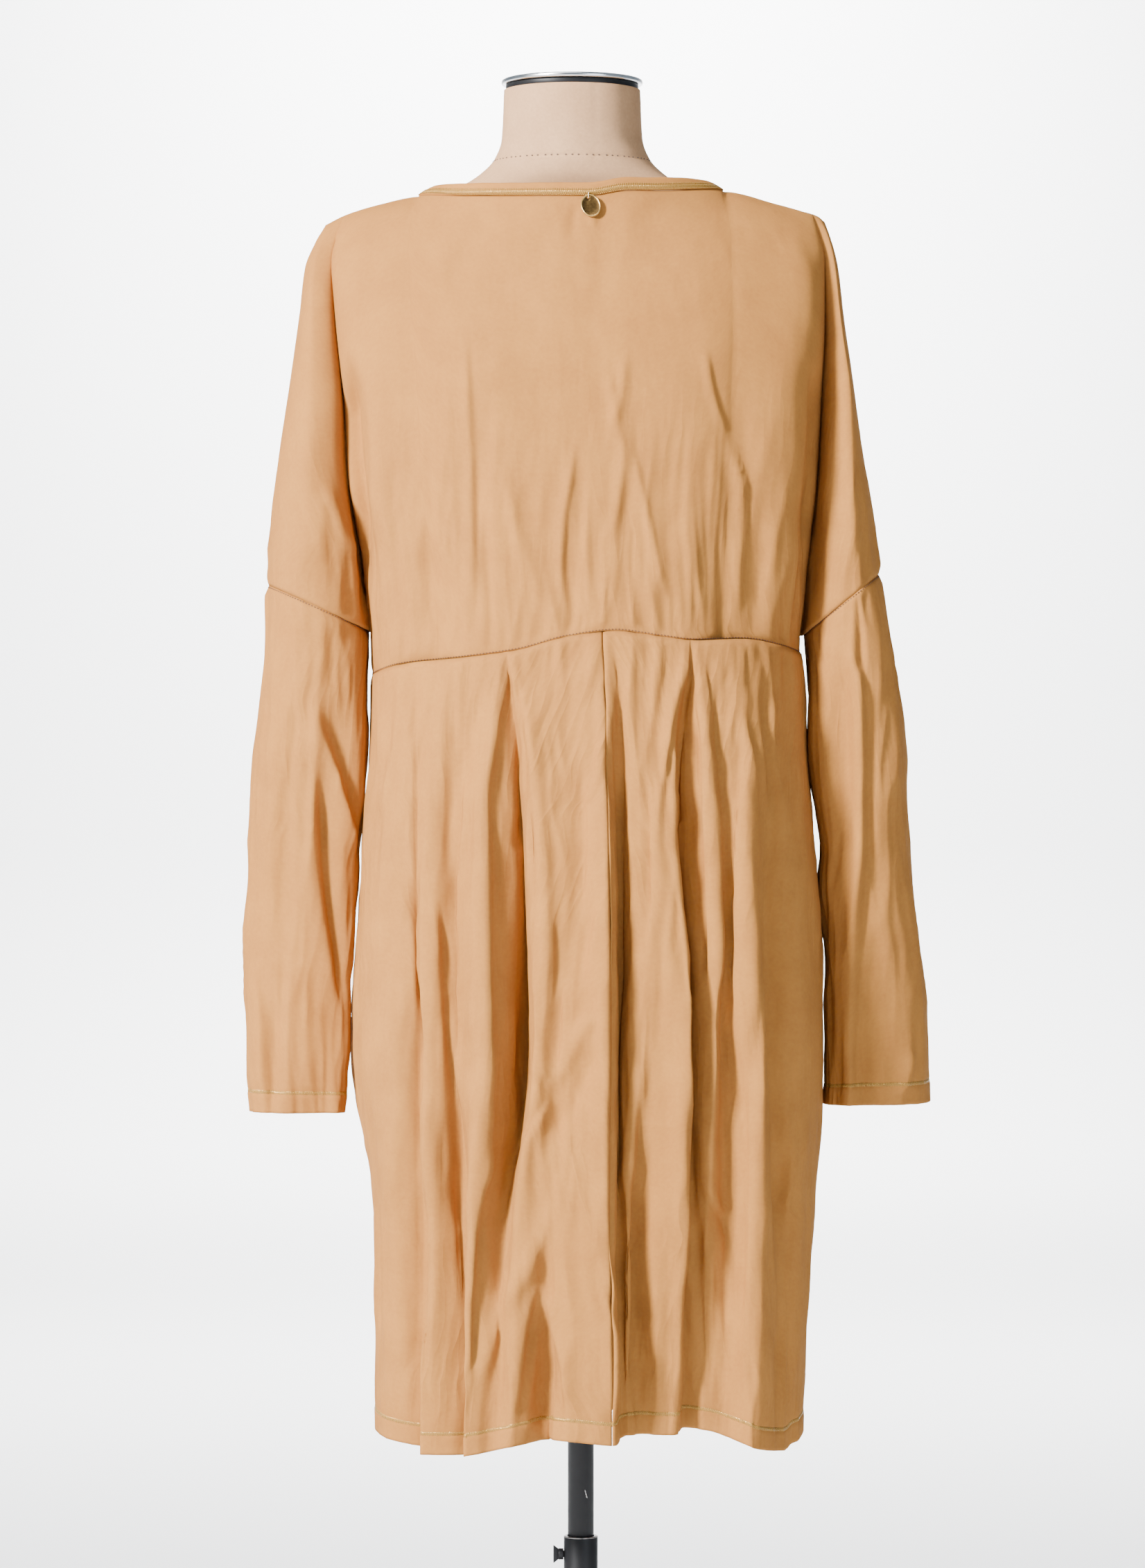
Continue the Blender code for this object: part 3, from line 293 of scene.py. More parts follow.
def crumple_group():
    """Crisp small creases, longer down the cloth than across it, that come and go."""
    group, given, out = node_group("small_crumples", {"Vector": "Vector"}, {"Height": "Float"})
    add, feed = nodes_of(group)
    sway = add("TexNoise", Vector=given["Vector"], Scale=9.0, Detail=2.0)
    swayed = add(
        "VectorMath", sway.outputs["Color"], (0.022, 0.03, 0.0), given["Vector"],
        operation="MULTIPLY_ADD",
    )
    long_ways = add("VectorMath", swayed, (1.0, 0.17, 1.0), operation="MULTIPLY")
    total = 1.0
    for scale, depth in ((34.0, 1.0), (85.0, 0.42)):
        wave = add("TexNoise", Vector=long_ways, Scale=scale, Detail=1.5, Roughness=0.45)
        middle = add("Math", wave, 0.5, operation="SUBTRACT")
        fold = add("Math", middle, operation="ABSOLUTE")
        total = add("Math", fold, -4.0 * depth, total, operation="MULTIPLY_ADD")
    patches = add("TexNoise", Vector=given["Vector"], Scale=6.0, Detail=1.0)
    where = add(
        "MapRange", Value=patches, From_Min=0.38, From_Max=0.60, To_Min=0.25, To_Max=1.0
    )
    feed(out["Height"], add("Math", total, where, operation="MULTIPLY"))
    return group


woven_threads = weave_group()
small_crumples = crumple_group()


def cloth_material(name, light, dark, threads, slant, roughness, depth, crumple=0.0):
    """Matt cloth: thread relief, and a colour that wanders between two shades.

    crumple is the height in metres of its small creases, which fade out above the body.
    """
    made, shader = principled(name, light, roughness, Specular_IOR_Level=0.10)
    add, feed = nodes_of(made)
    place = add("UVMap", uv_map="cloth")
    weave = add("Group", node_tree=woven_threads, Threads=threads, Slant=slant, Vector=place)
    cloudy = add("TexNoise", Vector=place, Scale=22.0, Detail=4.0, Roughness=0.6)
    amount = add("Math", weave.outputs["Mottle"], 0.55, cloudy, operation="MULTIPLY_ADD")
    shade = add("MapRange", Value=amount, From_Min=0.35, From_Max=1.15)
    tinted(made, shader, shade, light, dark)
    bump = add("Bump", Strength=0.5, Distance=depth, Height=weave.outputs["Height"])
    feed(shader.inputs["Normal"], bump)
    if crumple:
        creased = add("Group", node_tree=small_crumples, Vector=place)
        parts = add("SeparateXYZ", add("TexCoord").outputs["Object"])
        loose = add(
            "MapRange", interpolation_type="SMOOTHSTEP", Value=parts.outputs["Z"],
            From_Min=1.16, From_Max=1.34, To_Min=1.0, To_Max=0.08,
        )
        height = add("Math", creased, loose, operation="MULTIPLY")
        folds = add("Bump", Strength=1.0, Distance=crumple, Height=height)
        feed(bump.inputs["Normal"], folds)
    return made


def dip(distance, depth, width):
    """Depth of a narrow groove, such as a seam's, at each distance from its line."""
    return depth * np.exp(-(distance / width) ** 2)


def cloth_grid(name, places, surface, closed=False, facing=1, missing=None):
    """Mesh over a grid of places (rows down, columns across), with its lengths as UV.

    facing is -1 where the columns run the other way round, so that faces point outwards.
    """
    rows, count = places.shape[:2]
    shape = bmesh.new()
    bmesh.ops.create_grid(shape, x_segments=count - 1, y_segments=rows - 1, size=1.0)
    across = np.linalg.norm(np.diff(places, axis=1), axis=2).cumsum(axis=1)
    across = np.concatenate([np.zeros((rows, 1)), across], axis=1)
    across -= across[:, count // 2:count // 2 + 1]
    down = np.linalg.norm(np.diff(places, axis=0), axis=2).cumsum(axis=0)
    down = np.concatenate([np.zeros((1, count)), down], axis=0)
    at = {}
    gone = []
    for vert in shape.verts:
        j = round((vert.co.x + 1) / 2 * (count - 1))
        i = round((1 - vert.co.y) / 2 * (rows - 1))
        at[vert] = (across[i, j], -down[i, j])
        vert.co = places[i, j]
        if missing is not None and missing[i, j]:
            gone.append(vert)
    layer = shape.loops.layers.uv.new("cloth")
    for face in shape.faces:
        for loop in face.loops:
            loop[layer].uv = at[loop.vert]
    if gone:
        bmesh.ops.delete(shape, geom=gone, context="VERTS")
    if facing < 0:
        bmesh.ops.reverse_faces(shape, faces=shape.faces)
    if closed:
        bmesh.ops.remove_doubles(shape, verts=shape.verts, dist=0.00001)
    made = shown(name, shape, surface)
    made.data.shade_smooth()
    return made


linen = cloth_material(
    "linen", (0.60, 0.355, 0.19), (0.42, 0.235, 0.12), 1100.0, math.radians(38), 0.85, 0.0006
)
half_width, back_depth, front_depth = columns(FORM)


def form_section(height, sides):
    """Ring of places round the form; it starts at the front and runs to the left."""
    ring = []
    neck = min(1.0, max(0.0, (height - NECK_START) / (NECK_ROUND - NECK_START)))
    for i in range(sides + 1):
        angle = math.tau * i / sides + math.pi / 2
        share = math.cos(angle)
        depth = front_depth(height) if math.sin(angle) > 0 else -back_depth(height)
        bulge = round_off(share, blend(FORM_SQUARENESS, 2.0, neck))
        ring.append((FORM_X + half_width(height) * share, depth * bulge, height))
    return ring


bottom, top = FORM[0][0], FORM[-1][0]
levels = sorted(
    [blend(top, bottom, (i / FORM_RINGS) ** 1.35) for i in range(FORM_RINGS + 1)]
    + [NECK_SEAM_HEIGHT + rise for rise in (-0.0012, 0.0, 0.0012)],
    reverse=True,
)
trunk_places = np.array([form_section(height, FORM_SIDES) for height in levels])
back_line = dip(trunk_places[..., 0] - BACK_SEAM_X, 1.0, FORM_SEAM_WIDTH)
neck_line = dip(trunk_places[..., 2] - NECK_SEAM_HEIGHT, 1.0, FORM_SEAM_WIDTH)
trunk_places[..., 1] += np.where(trunk_places[..., 1] < 0, BACK_SEAM_DEPTH, 0.0) * back_line
trunk_places[..., :2] *= 1 - NECK_SEAM_SHARE * neck_line[..., None]
torso = cloth_grid("form_linen", trunk_places, linen, closed=True)
ends = bmesh.new()
ends.from_mesh(torso.data)
bmesh.ops.holes_fill(ends, edges=[e for e in ends.edges if e.is_boundary])
bmesh.ops.recalc_face_normals(ends, faces=ends.faces)
ends.to_mesh(torso.data)
ends.free()
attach(torso, "dress_on_form")
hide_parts("form_torso")


def pin_dots(name, points, radii, surface, body):
    """Small rounded stitches: one ball, stretched along its axes to each place."""
    seed = bmesh.new()
    bmesh.ops.create_icosphere(seed, subdivisions=1, radius=1.0)
    ball = np.array([vert.co[:] for vert in seed.verts])
    corners = np.array([[vert.index for vert in face.verts] for face in seed.faces])
    seed.free()
    spread = np.array([
        [axis * radius for axis, radius in zip(axes, radii)] for _, axes in points
    ])
    centres = np.array([centre[:] for centre, _ in points])
    places = np.einsum("bi,nij->nbj", ball, spread) + centres[:, None, :]
    faces = corners[None] + len(ball) * np.arange(len(points))[:, None, None]
    mesh = bpy.data.meshes.new(name)
    mesh.from_pydata(places.reshape(-1, 3), [], faces.reshape(-1, 3))
    mesh.materials.append(surface)
    mesh.shade_smooth()
    made = bpy.data.objects.new(name, mesh)
    bpy.context.scene.collection.objects.link(made)
    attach(made, body)


dark_thread = principled("form_seam_thread", (0.10, 0.065, 0.05), 0.8)[0]
neck_ring_points = form_section(NECK_SEAM_HEIGHT, NECK_SIDES)
around = sum(
    (Vector(b) - Vector(a)).length for a, b in zip(neck_ring_points, neck_ring_points[1:])
)
dots, holes = [], int(around / SEAM_STITCH)
for k in range(holes):
    p = Vector(neck_ring_points[round(k / holes * NECK_SIDES)])
    out = Vector((p.x - FORM_X, p.y, 0.0)).normalized()
    dots.append((p - out * 0.0001, (Vector((-out.y, out.x, 0.0)), out, Vector((0, 0, 1)))))
pin_dots(
    "form_neck_stitches", dots, (0.0009, 0.0004, 0.0006), dark_thread, "dress_on_form"
)

# ================================================================ cap and ring of the neck
# A flat black cap closes the neck. It is stepped, and a polished metal ring lies on the
# step, just above the linen.

CAP_RADIUS, CAP_NECK_RADIUS = 0.0535, 0.0492
CAP_HEIGHT, CAP_STEP = 0.0075, 0.0042
RING_OUTER, RING_INNER, RING_THICKNESS = 0.0570, 0.0496, 0.0038
TOUCH = 0.0003


def worn_metal(name, colour, roughness, metallic, scale, wear, worn_colour, **sockets):
    """Painted or plated metal with fine scuffs, and a lighter, rougher worn shade."""
    made, shader = principled(name, colour, roughness, Metallic=metallic, **sockets)
    add, feed = nodes_of(made)
    place = add("TexCoord").outputs["Object"]
    scuff = add("TexNoise", Vector=place, Scale=scale, Detail=6.0, Roughness=0.65)
    mask = add("MapRange", Value=scuff, From_Min=0.62 - wear * 0.2, From_Max=0.74)
    tinted(made, shader, mask, colour, worn_colour)
    dull = add("MapRange", Value=scuff, To_Min=roughness, To_Max=min(1.0, roughness + 0.25))
    feed(shader.inputs["Roughness"], dull)
    bump = add("Bump", Strength=0.15, Distance=0.0003, Height=scuff)
    feed(shader.inputs["Normal"], bump)
    return made


def lathe(name, profile, surface, body, node, sides=64, centre=(0.0, 0.0), soften=0.0003):
    """Turned piece: a closed profile of (radius, height) spun about a vertical axis."""
    shape = bmesh.new()
    verts = [shape.verts.new((radius, 0.0, height)) for radius, height in profile]
    for first, second in zip(verts, verts[1:] + verts[:1]):
        if first.co.x > 0 or second.co.x > 0:
            shape.edges.new((first, second))
    bmesh.ops.spin(
        shape, geom=shape.verts[:] + shape.edges[:], cent=(0.0, 0.0, 0.0), axis=(0.0, 0.0, 1.0),
        angle=math.tau, steps=sides, use_merge=True,
    )
    bmesh.ops.remove_doubles(shape, verts=shape.verts, dist=0.00001)
    bmesh.ops.recalc_face_normals(shape, faces=shape.faces)
    corners = [
        e for e in shape.edges
        if e.is_manifold and e.calc_face_angle(0.0) > math.radians(35)
    ]
    bmesh.ops.bevel(
        shape, geom=corners, offset=soften, segments=2, profile=0.5, affect="EDGES",
        material=-1, clamp_overlap=True,
    )
    bmesh.ops.translate(shape, verts=shape.verts, vec=(*centre, 0.0))
    made = shown(name, shape, surface)
    made.data.shade_smooth()
    made.data.set_sharp_from_angle(angle=math.radians(40))
    if body:
        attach(made, body)
    if node:
        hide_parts(node)
    return made


black_paint = worn_metal(
    "black_paint", (0.008, 0.008, 0.009), 0.34, 0.0, 60.0, 0.0, (0.012, 0.012, 0.012),
    Specular_IOR_Level=0.22,
)
chrome = worn_metal(
    "chrome", (0.78, 0.79, 0.80), 0.10, 1.0, 90.0, 0.0, (0.62, 0.62, 0.62)
)
lathe("neck_closing_cap", (
    (0.0, top + CAP_HEIGHT),
    (CAP_NECK_RADIUS, top + CAP_HEIGHT),
    (CAP_NECK_RADIUS, top + CAP_STEP),
    (CAP_RADIUS, top + CAP_STEP),
    (CAP_RADIUS, top + TOUCH),
    (0.0, top + TOUCH),
), black_paint, "dress_on_form", "neck_cap", 96, (FORM_X, 0.0))
low = top + CAP_STEP + TOUCH
lathe("chrome_neck_ring", (
    (RING_INNER, low + RING_THICKNESS),
    (RING_OUTER - 0.0012, low + RING_THICKNESS),
    (RING_OUTER - 0.0003, low + RING_THICKNESS - 0.0005),
    (RING_OUTER, low + RING_THICKNESS - 0.0012),
    (RING_OUTER, low + 0.0010),
    (RING_OUTER - 0.0008, low),
    (RING_INNER, low),
), chrome, "dress_on_form", "neck_ring", 128, (FORM_X, 0.0))

# ================================================================ pole, tube and wing screw
# A steel pole, painted black, carries the form on a flange and slides in an outer tube,
# where a wing screw holds it. The tube's end is worn bright.

POLE_RADIUS, POLE_BOTTOM = 0.0105, 0.160
FLANGE_RADIUS, FLANGE_THICKNESS = 0.036, 0.005
TUBE_OUTER, TUBE_INNER = 0.0137, 0.0112
TUBE_BOTTOM, TUBE_TOP = 0.020, 0.3630
SCREW_HEIGHT, SCREW_RADIUS = 0.348, 0.0026
SCREW_HEAD_RADIUS, SCREW_HEAD_LENGTH = 0.0046, 0.0040
WING_SPAN, WING_REACH, WING_THICKNESS = 0.0150, 0.0052, 0.0024
WING_FOOT, WING_ROUND = 0.45, 0.0009       # share of the span at the head; rounding

tube_rim = worn_metal(
    "worn_tube_rim", (0.34, 0.33, 0.32), 0.30, 0.9, 220.0, 0.8, (0.06, 0.06, 0.06)
)
lathe("sliding_pole", (
    (0.0, bottom - TOUCH),
    (FLANGE_RADIUS, bottom - TOUCH),
    (FLANGE_RADIUS, bottom - TOUCH - FLANGE_THICKNESS),
    (POLE_RADIUS + 0.003, bottom - FLANGE_THICKNESS - 0.002),
    (POLE_RADIUS, bottom - FLANGE_THICKNESS - 0.010),
    (POLE_RADIUS, POLE_BOTTOM),
    (0.0, POLE_BOTTOM),
), black_paint, "dress_on_form", "pole")
lathe("outer_tube_painted", (
    (TUBE_INNER, TUBE_TOP - 0.0011),
    (TUBE_OUTER, TUBE_TOP - 0.0011),
    (TUBE_OUTER, TUBE_BOTTOM),
    (TUBE_INNER, TUBE_BOTTOM),
), black_paint, "stand", "outer_tube")
lathe("outer_tube_rim", (
    (TUBE_INNER, TUBE_TOP),
    (TUBE_OUTER - 0.0006, TUBE_TOP),
    (TUBE_OUTER, TUBE_TOP - 0.0006),
    (TUBE_OUTER, TUBE_TOP - 0.0011),
    (TUBE_INNER, TUBE_TOP - 0.0011),
), tube_rim, "stand", None, soften=0.0001)

scratch_metal = principled("bare_steel_scratch", (0.42, 0.41, 0.40), 0.35, Metallic=0.9)[0]
pin_dots(
    "pole_scratch",
    [
        (
            Vector((0.0035 + 0.0006 * k, -0.00990 + 0.00018 * k, 0.4000 - 0.0022 * k)),
            (Vector((1, 0, 0)), Vector((0, 1, 0)), Vector((0.25, 0, -1)).normalized()),
        )
        for k in range(3)
    ],
    (0.0006, 0.00012, 0.0016), scratch_metal, "dress_on_form",
)

seat = TUBE_OUTER + TOUCH
head = seat + SCREW_HEAD_LENGTH
screw = lathe("wing_screw_shank", (
    (0.0, head),
    (SCREW_HEAD_RADIUS, head),
    (SCREW_HEAD_RADIUS, seat),
    (SCREW_RADIUS, seat),
    (SCREW_RADIUS, POLE_RADIUS + TOUCH),
    (0.0, POLE_RADIUS + TOUCH),
), black_paint, None, None, 32)
wing = bmesh.new()
wing.from_mesh(screw.data)
ears = bmesh.ops.create_cube(wing, size=1.0)["verts"]
for vert in ears:
    spread = 1.0 if vert.co.z > 0 else WING_FOOT
    vert.co.x *= WING_SPAN * spread
    vert.co.y *= WING_THICKNESS
    vert.co.z = head - 0.001 + (vert.co.z + 0.5) * WING_REACH
edges = list({e for v in ears for e in v.link_edges})
bmesh.ops.bevel(
    wing, geom=edges, offset=WING_ROUND, segments=3, profile=0.5, affect="EDGES", material=-1,
    clamp_overlap=True,
)
bmesh.ops.rotate(
    wing, verts=wing.verts, cent=(0, 0, 0), matrix=Matrix.Rotation(-math.pi / 2, 3, "Y")
)
bmesh.ops.translate(wing, verts=wing.verts, vec=(0.0, 0.0, SCREW_HEIGHT))
bpy.data.objects.remove(screw)
screw = shown("wing_screw", wing, black_paint)
screw.data.shade_smooth()
screw.data.set_sharp_from_angle(angle=math.radians(40))
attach(screw, "lock_screw")
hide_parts("lock_screw")

# ================================================================ base
# A round, flat cast-iron foot with a boss for the tube, painted like the pole.

BASE_RADIUS, BASE_EDGE = 0.160, 0.009
BASE_BOSS_RADIUS, BASE_BOSS_TOP = 0.026, 0.046

cast_paint = worn_metal(
    "black_cast_iron", (0.010, 0.010, 0.011), 0.5, 0.0, 160.0, 0.1, (0.03, 0.03, 0.03),
    Specular_IOR_Level=0.25,
)
lathe("round_base", (
    (0.0, TUBE_BOTTOM - TOUCH),
    (TUBE_OUTER + TOUCH, TUBE_BOTTOM - TOUCH),
    (TUBE_OUTER + TOUCH, BASE_BOSS_TOP),
    (BASE_BOSS_RADIUS - 0.006, BASE_BOSS_TOP),
    (BASE_BOSS_RADIUS - 0.002, BASE_BOSS_TOP - 0.003),
    (BASE_BOSS_RADIUS, BASE_BOSS_TOP - 0.016),
    (BASE_BOSS_RADIUS + 0.020, BASE_BOSS_TOP - 0.026),
    (BASE_RADIUS - 0.040, BASE_EDGE + 0.006),
    (BASE_RADIUS - 0.004, BASE_EDGE + 0.001),
    (BASE_RADIUS, BASE_EDGE - 0.002),
    (BASE_RADIUS, 0.0),
    (0.0, 0.0),
), cast_paint, "stand", "base", 128)

# ================================================================ back and front bodice
# Two panels of fine cotton jersey, cut in one with the upper sleeves and sewn along the
# shoulders. They hang in soft, uneven folds from the shoulder blades to the waist.

CLOTH = 0.0012             # thickness of the jersey
SEAM = 0.0003              # gap between two pieces along their seam
SEAM_DIP = 0.0008, 0.0022  # depth and width of the groove along a seam
BACK, FRONT = -1, 1        # sign of Y on each side of the shoulder line
BODY_SQUARENESS = 2.6
# Shoulder line, seen from the back: height of the cloth over each place across.
SHOULDER_LINE = (
    # across, height
    (-0.206, 1.4216),
    (-0.190, 1.4296),
    (-0.161, 1.4385),
    (-0.131, 1.4445),
    (0.115, 1.4485),
    (0.158, 1.4385),
    (0.179, 1.4326),
    (0.191, 1.4288),
    (0.197, 1.4239),
)

# Waist seam on the back, from the left side seam to the right one.
WAIST_LINE = (
    # across, height
    (-0.168, 1.0580),
    (-0.146, 1.0646),
    (-0.090, 1.0701),
    (-0.050, 1.0755),
    (-0.010, 1.0860),
    (0.028, 1.0905),
    (0.060, 1.0865),
    (0.090, 1.0832),
    (0.128, 1.0848),
    (0.164, 1.0786),
    (0.177, 1.0745),
)

NECK_LEFT, NECK_RIGHT = -0.131, 0.115      # ends of the neck opening on the shoulder line
NECK_BACK_DEPTH, NECK_FRONT_DEPTH = 0.068, 0.074

# Height of the neck edge; on the back it steps up just right of the charm.
NECK_BACK_LINE = (
    # across, height
    (-0.131, 1.4445),
    (-0.090, 1.4394),
    (-0.040, 1.4378),
    (0.006, 1.4376),
    (0.036, 1.4424),
    (0.060, 1.4431),
    (0.090, 1.4455),
    (0.115, 1.4485),
)
NECK_FRONT_LINE = (
    # across, height
    (-0.131, 1.4445),
    (-0.110, 1.4395),
    (-0.080, 1.4275),
    (-0.040, 1.4155),
    (-0.008, 1.4120),
    (0.030, 1.4155),
    (0.068, 1.4295),
    (0.095, 1.4415),
    (0.115, 1.4485),
)

# Upper sleeve and armhole valley, from the shoulder line (0) down to the underarm (1).
# Depths are measured from the middle plane, the same to the back and to the front.
UPPER_LEFT = (
    # down, outer edge, crest across, crest depth, valley across, valley depth
    (0.00, -0.2060, -0.2000, 0.034, -0.1900, 0.034),
    (0.04, -0.2128, -0.2050, 0.044, -0.1950, 0.042),
    (0.12, -0.2228, -0.2125, 0.050, -0.2000, 0.046),
    (0.25, -0.2268, -0.2140, 0.051, -0.1970, 0.038),
    (0.45, -0.2352, -0.2130, 0.052, -0.1900, 0.032),
    (0.65, -0.2437, -0.2150, 0.053, -0.1860, 0.024),
    (0.85, -0.2510, -0.2140, 0.054, -0.1745, 0.011),
    (1.00, -0.2526, -0.2120, 0.054, -0.1680, 0.002),
)
UPPER_RIGHT = (
    # down, outer edge, crest across, crest depth, valley across, valley depth
    (0.00, 0.1970, 0.1925, 0.034, 0.1870, 0.034),
    (0.04, 0.2010, 0.1970, 0.044, 0.1905, 0.042),
    (0.12, 0.2065, 0.2025, 0.050, 0.1955, 0.045),
    (0.25, 0.2106, 0.2065, 0.052, 0.1955, 0.037),
    (0.45, 0.2190, 0.2130, 0.054, 0.1930, 0.030),
    (0.65, 0.2275, 0.2160, 0.055, 0.1895, 0.022),
    (0.85, 0.2363, 0.2170, 0.056, 0.1815, 0.010),
    (1.00, 0.2410, 0.2180, 0.056, 0.1770, 0.002),
)

# Half depth of the bodice over the trunk, from the shoulder line (0) to the waist seam (1).
TRUNK = (
    # down, back depth, front depth
    (0.00, 0.104, 0.104),
    (0.20, 0.110, 0.120),
    (0.40, 0.114, 0.134),
    (0.65, 0.118, 0.132),
    (1.00, 0.118, 0.114),
)
SHOULDER_ROUND = 0.42      # share of the bodice's length over which the shoulder rounds off
SHOULDER_POWER, NAPE_POWER = 0.55, 1.05    # below 1 the cloth leaves its top edge flat
UNDERARM = 0.92            # row of the bodice where the sleeve parts from the body
UNDERARM_LEFT, UNDERARM_RIGHT = 1.0929, 1.0896
DROP_LEFT, DROP_RIGHT = 1.1300, 1.1390     # outer ends of the dropped armhole seams

# Creases of the back: how far each stands out (+) or in (-), how far it reaches to its left
# and right, and its course as it shows on the pole's plane. All in mm.
BODICE_CREASES = (
    # name, out, reach left, reach right, (across, height) ...
    ("long_left", 1.6, 7, 3, (-94, 1340), (-91, 1301), (-88, 1245), (-87, 1167), (-86, 1086)),
    ("long_left_trough", -1.6, 9, 8, (-82, 1290), (-79, 1223), (-77, 1156), (-77, 1100)),
    ("far_left", 1.6, 10, 12, (-136, 1245), (-140, 1178), (-138, 1122), (-134, 1080)),
    ("slant_left", 1.5, 6, 5, (-65, 1237), (-55, 1189), (-41, 1144), (-27, 1097)),
    ("slant_left_trough", -1.2, 8, 8, (-52, 1234), (-41, 1189), (-28, 1144), (-17, 1105)),
    ("middle_left", 1.8, 6, 3.5, (-6, 1252), (-8, 1217), (-14, 1184), (-16, 1144), (-11, 1111), (-8, 1093)),
    ("middle_left_trough", -1.2, 6, 8, (1, 1240), (0, 1200), (-6, 1161), (-6, 1122)),
    ("fork_stem", 2.0, 5, 4, (36, 1324), (34, 1290), (29, 1262), (34, 1240), (35, 1212)),
    ("fork_left", 1.8, 5, 4, (22, 1301), (26, 1279), (29, 1259)),
    ("fork_low_left", 1.6, 6, 5, (34, 1240), (28, 1189), (17, 1156), (16, 1122), (20, 1097)),
    ("fork_right", 2.0, 7, 5, (39, 1254), (47, 1217), (56, 1178), (64, 1139), (69, 1111)),
    ("fork_trough", -1.3, 10, 9, (38, 1223), (38, 1178), (40, 1133), (38, 1097)),
    ("fork_right_trough", -1.6, 9, 10, (69, 1200), (75, 1156), (82, 1111)),
    ("right_upper", 1.4, 5, 3, (100, 1324), (105, 1290), (112, 1268), (120, 1251)),
    ("right_lower", 2.6, 7, 3, (116, 1265), (124, 1234), (131, 1212), (130, 1172), (127, 1133),
     (127, 1090)),
    ("right_trough", -1.2, 5, 9, (122, 1290), (132, 1245), (138, 1200), (137, 1156), (136, 1111)),
    ("right_soft", 1.2, 14, 14, (152, 1312), (151, 1245), (150, 1178), (150, 1100)),
    ("left_body_fold", 3.0, 5, 18, (-174, 1245), (-168, 1200), (-164, 1156), (-163, 1111), (-164, 1069)),
    ("left_body_trough", -2.2, 10, 12, (-151, 1178), (-149, 1133), (-148, 1083)),
    ("neck_fan_a", 0.9, 12, 9, (-77, 1436), (-111, 1391), (-133, 1324)),
    ("neck_fan_b", 0.8, 10, 9, (8, 1430), (4, 1396), (8, 1352)),
    ("neck_fan_c", 0.8, 9, 10, (91, 1436), (119, 1396), (138, 1346)),
    ("shoulder_drag_left", 1.4, 10, 10, (-156, 1419), (-181, 1380), (-189, 1335)),
    ("shoulder_drag_right", 1.2, 10, 8, (164, 1419), (183, 1380), (190, 1324)),
    ("wing_left_diagonal", 2.0, 8, 7, (-205, 1212), (-197, 1183), (-189, 1166), (-184, 1149)),
    ("wing_left_soft", 1.6, 10, 10, (-220, 1268), (-219, 1212), (-220, 1161), (-217, 1128)),
    ("wing_left_edge", 1.4, 8, 9, (-241, 1212), (-242, 1167), (-244, 1133)),
    ("wing_right_line", -2.2, 7, 6, (203, 1312), (206, 1256), (211, 1200), (214, 1144)),
    ("wing_right_fold", 2.2, 9, 4, (213, 1331), (217, 1268), (218, 1188), (220, 1141)),
    ("wing_right_far", -1.6, 5, 7, (223, 1245), (228, 1195), (232, 1141)),
    ("armhole_left", -6.0, 5, 8, (-190, 1324), (-188, 1290), (-185, 1258), (-181, 1219),
     (-178, 1178), (-176, 1139), (-174, 1100)),
    ("armhole_right", -5.0, 7, 6, (190, 1312), (189, 1268), (187, 1223), (185, 1178), (184, 1133),
     (183, 1100)),
    ("charm_pull_a", 1.2, 4, 3, (11, 1441), (11, 1429), (8, 1419)),
    ("charm_pull_b", -1.0, 4, 4, (-1, 1441), (-6, 1427), (-7, 1410)),
)
# Where one fold of the cloth lies over the next: how far it steps down to the right, or up
# to the right where that is negative, with reaches and courses as above.
BODICE_EDGES = (
    # name, step, reach left, reach right, (across, height) ...
    ("long_left", 0.8, 6, 5, (-91, 1340), (-90, 1301), (-88, 1245), (-86, 1167), (-86, 1086)),
    ("middle_left", 0.8, 5, 5, (-3, 1252), (-7, 1217), (-12, 1184), (-14, 1144), (-10, 1111), (-6, 1093)),
    ("fork_right", 0.7, 5, 5, (41, 1254), (49, 1217), (58, 1178), (66, 1139), (71, 1111)),
    ("right_upper", 0.6, 5, 5, (102, 1324), (108, 1290), (114, 1268), (122, 1245)),
    ("right_lower", 1.0, 6, 5, (118, 1254), (127, 1228), (133, 1206), (132, 1172), (129, 1133),
     (128, 1090)),
    ("wing_left_over", 4.5, 9, 10, (-193, 1324), (-191, 1290), (-188, 1258), (-185, 1219),
     (-182, 1178), (-180, 1139), (-178, 1100)),
    ("wing_right_under", 3.6, 10, 9, (185, 1312), (184, 1268), (181, 1223), (179, 1178),
     (178, 1133), (176, 1100)),
    ("wing_left", 1.6, 8, 8, (-202, 1212), (-194, 1183), (-186, 1164), (-181, 1146)),
)
# Where the cloth sinks in between the upper arms and the body, as above.
ARMHOLE_HOLLOWS = (
    ("left", -17.0, 9, 8, (-188, 1320), (-186, 1280), (-184, 1240), (-179, 1205), (-174, 1170),
     (-171, 1140), (-169, 1105)),
    ("right", -14.0, 14, 6, (194, 1320), (192, 1270), (189, 1230), (184, 1190), (181, 1150)),
)
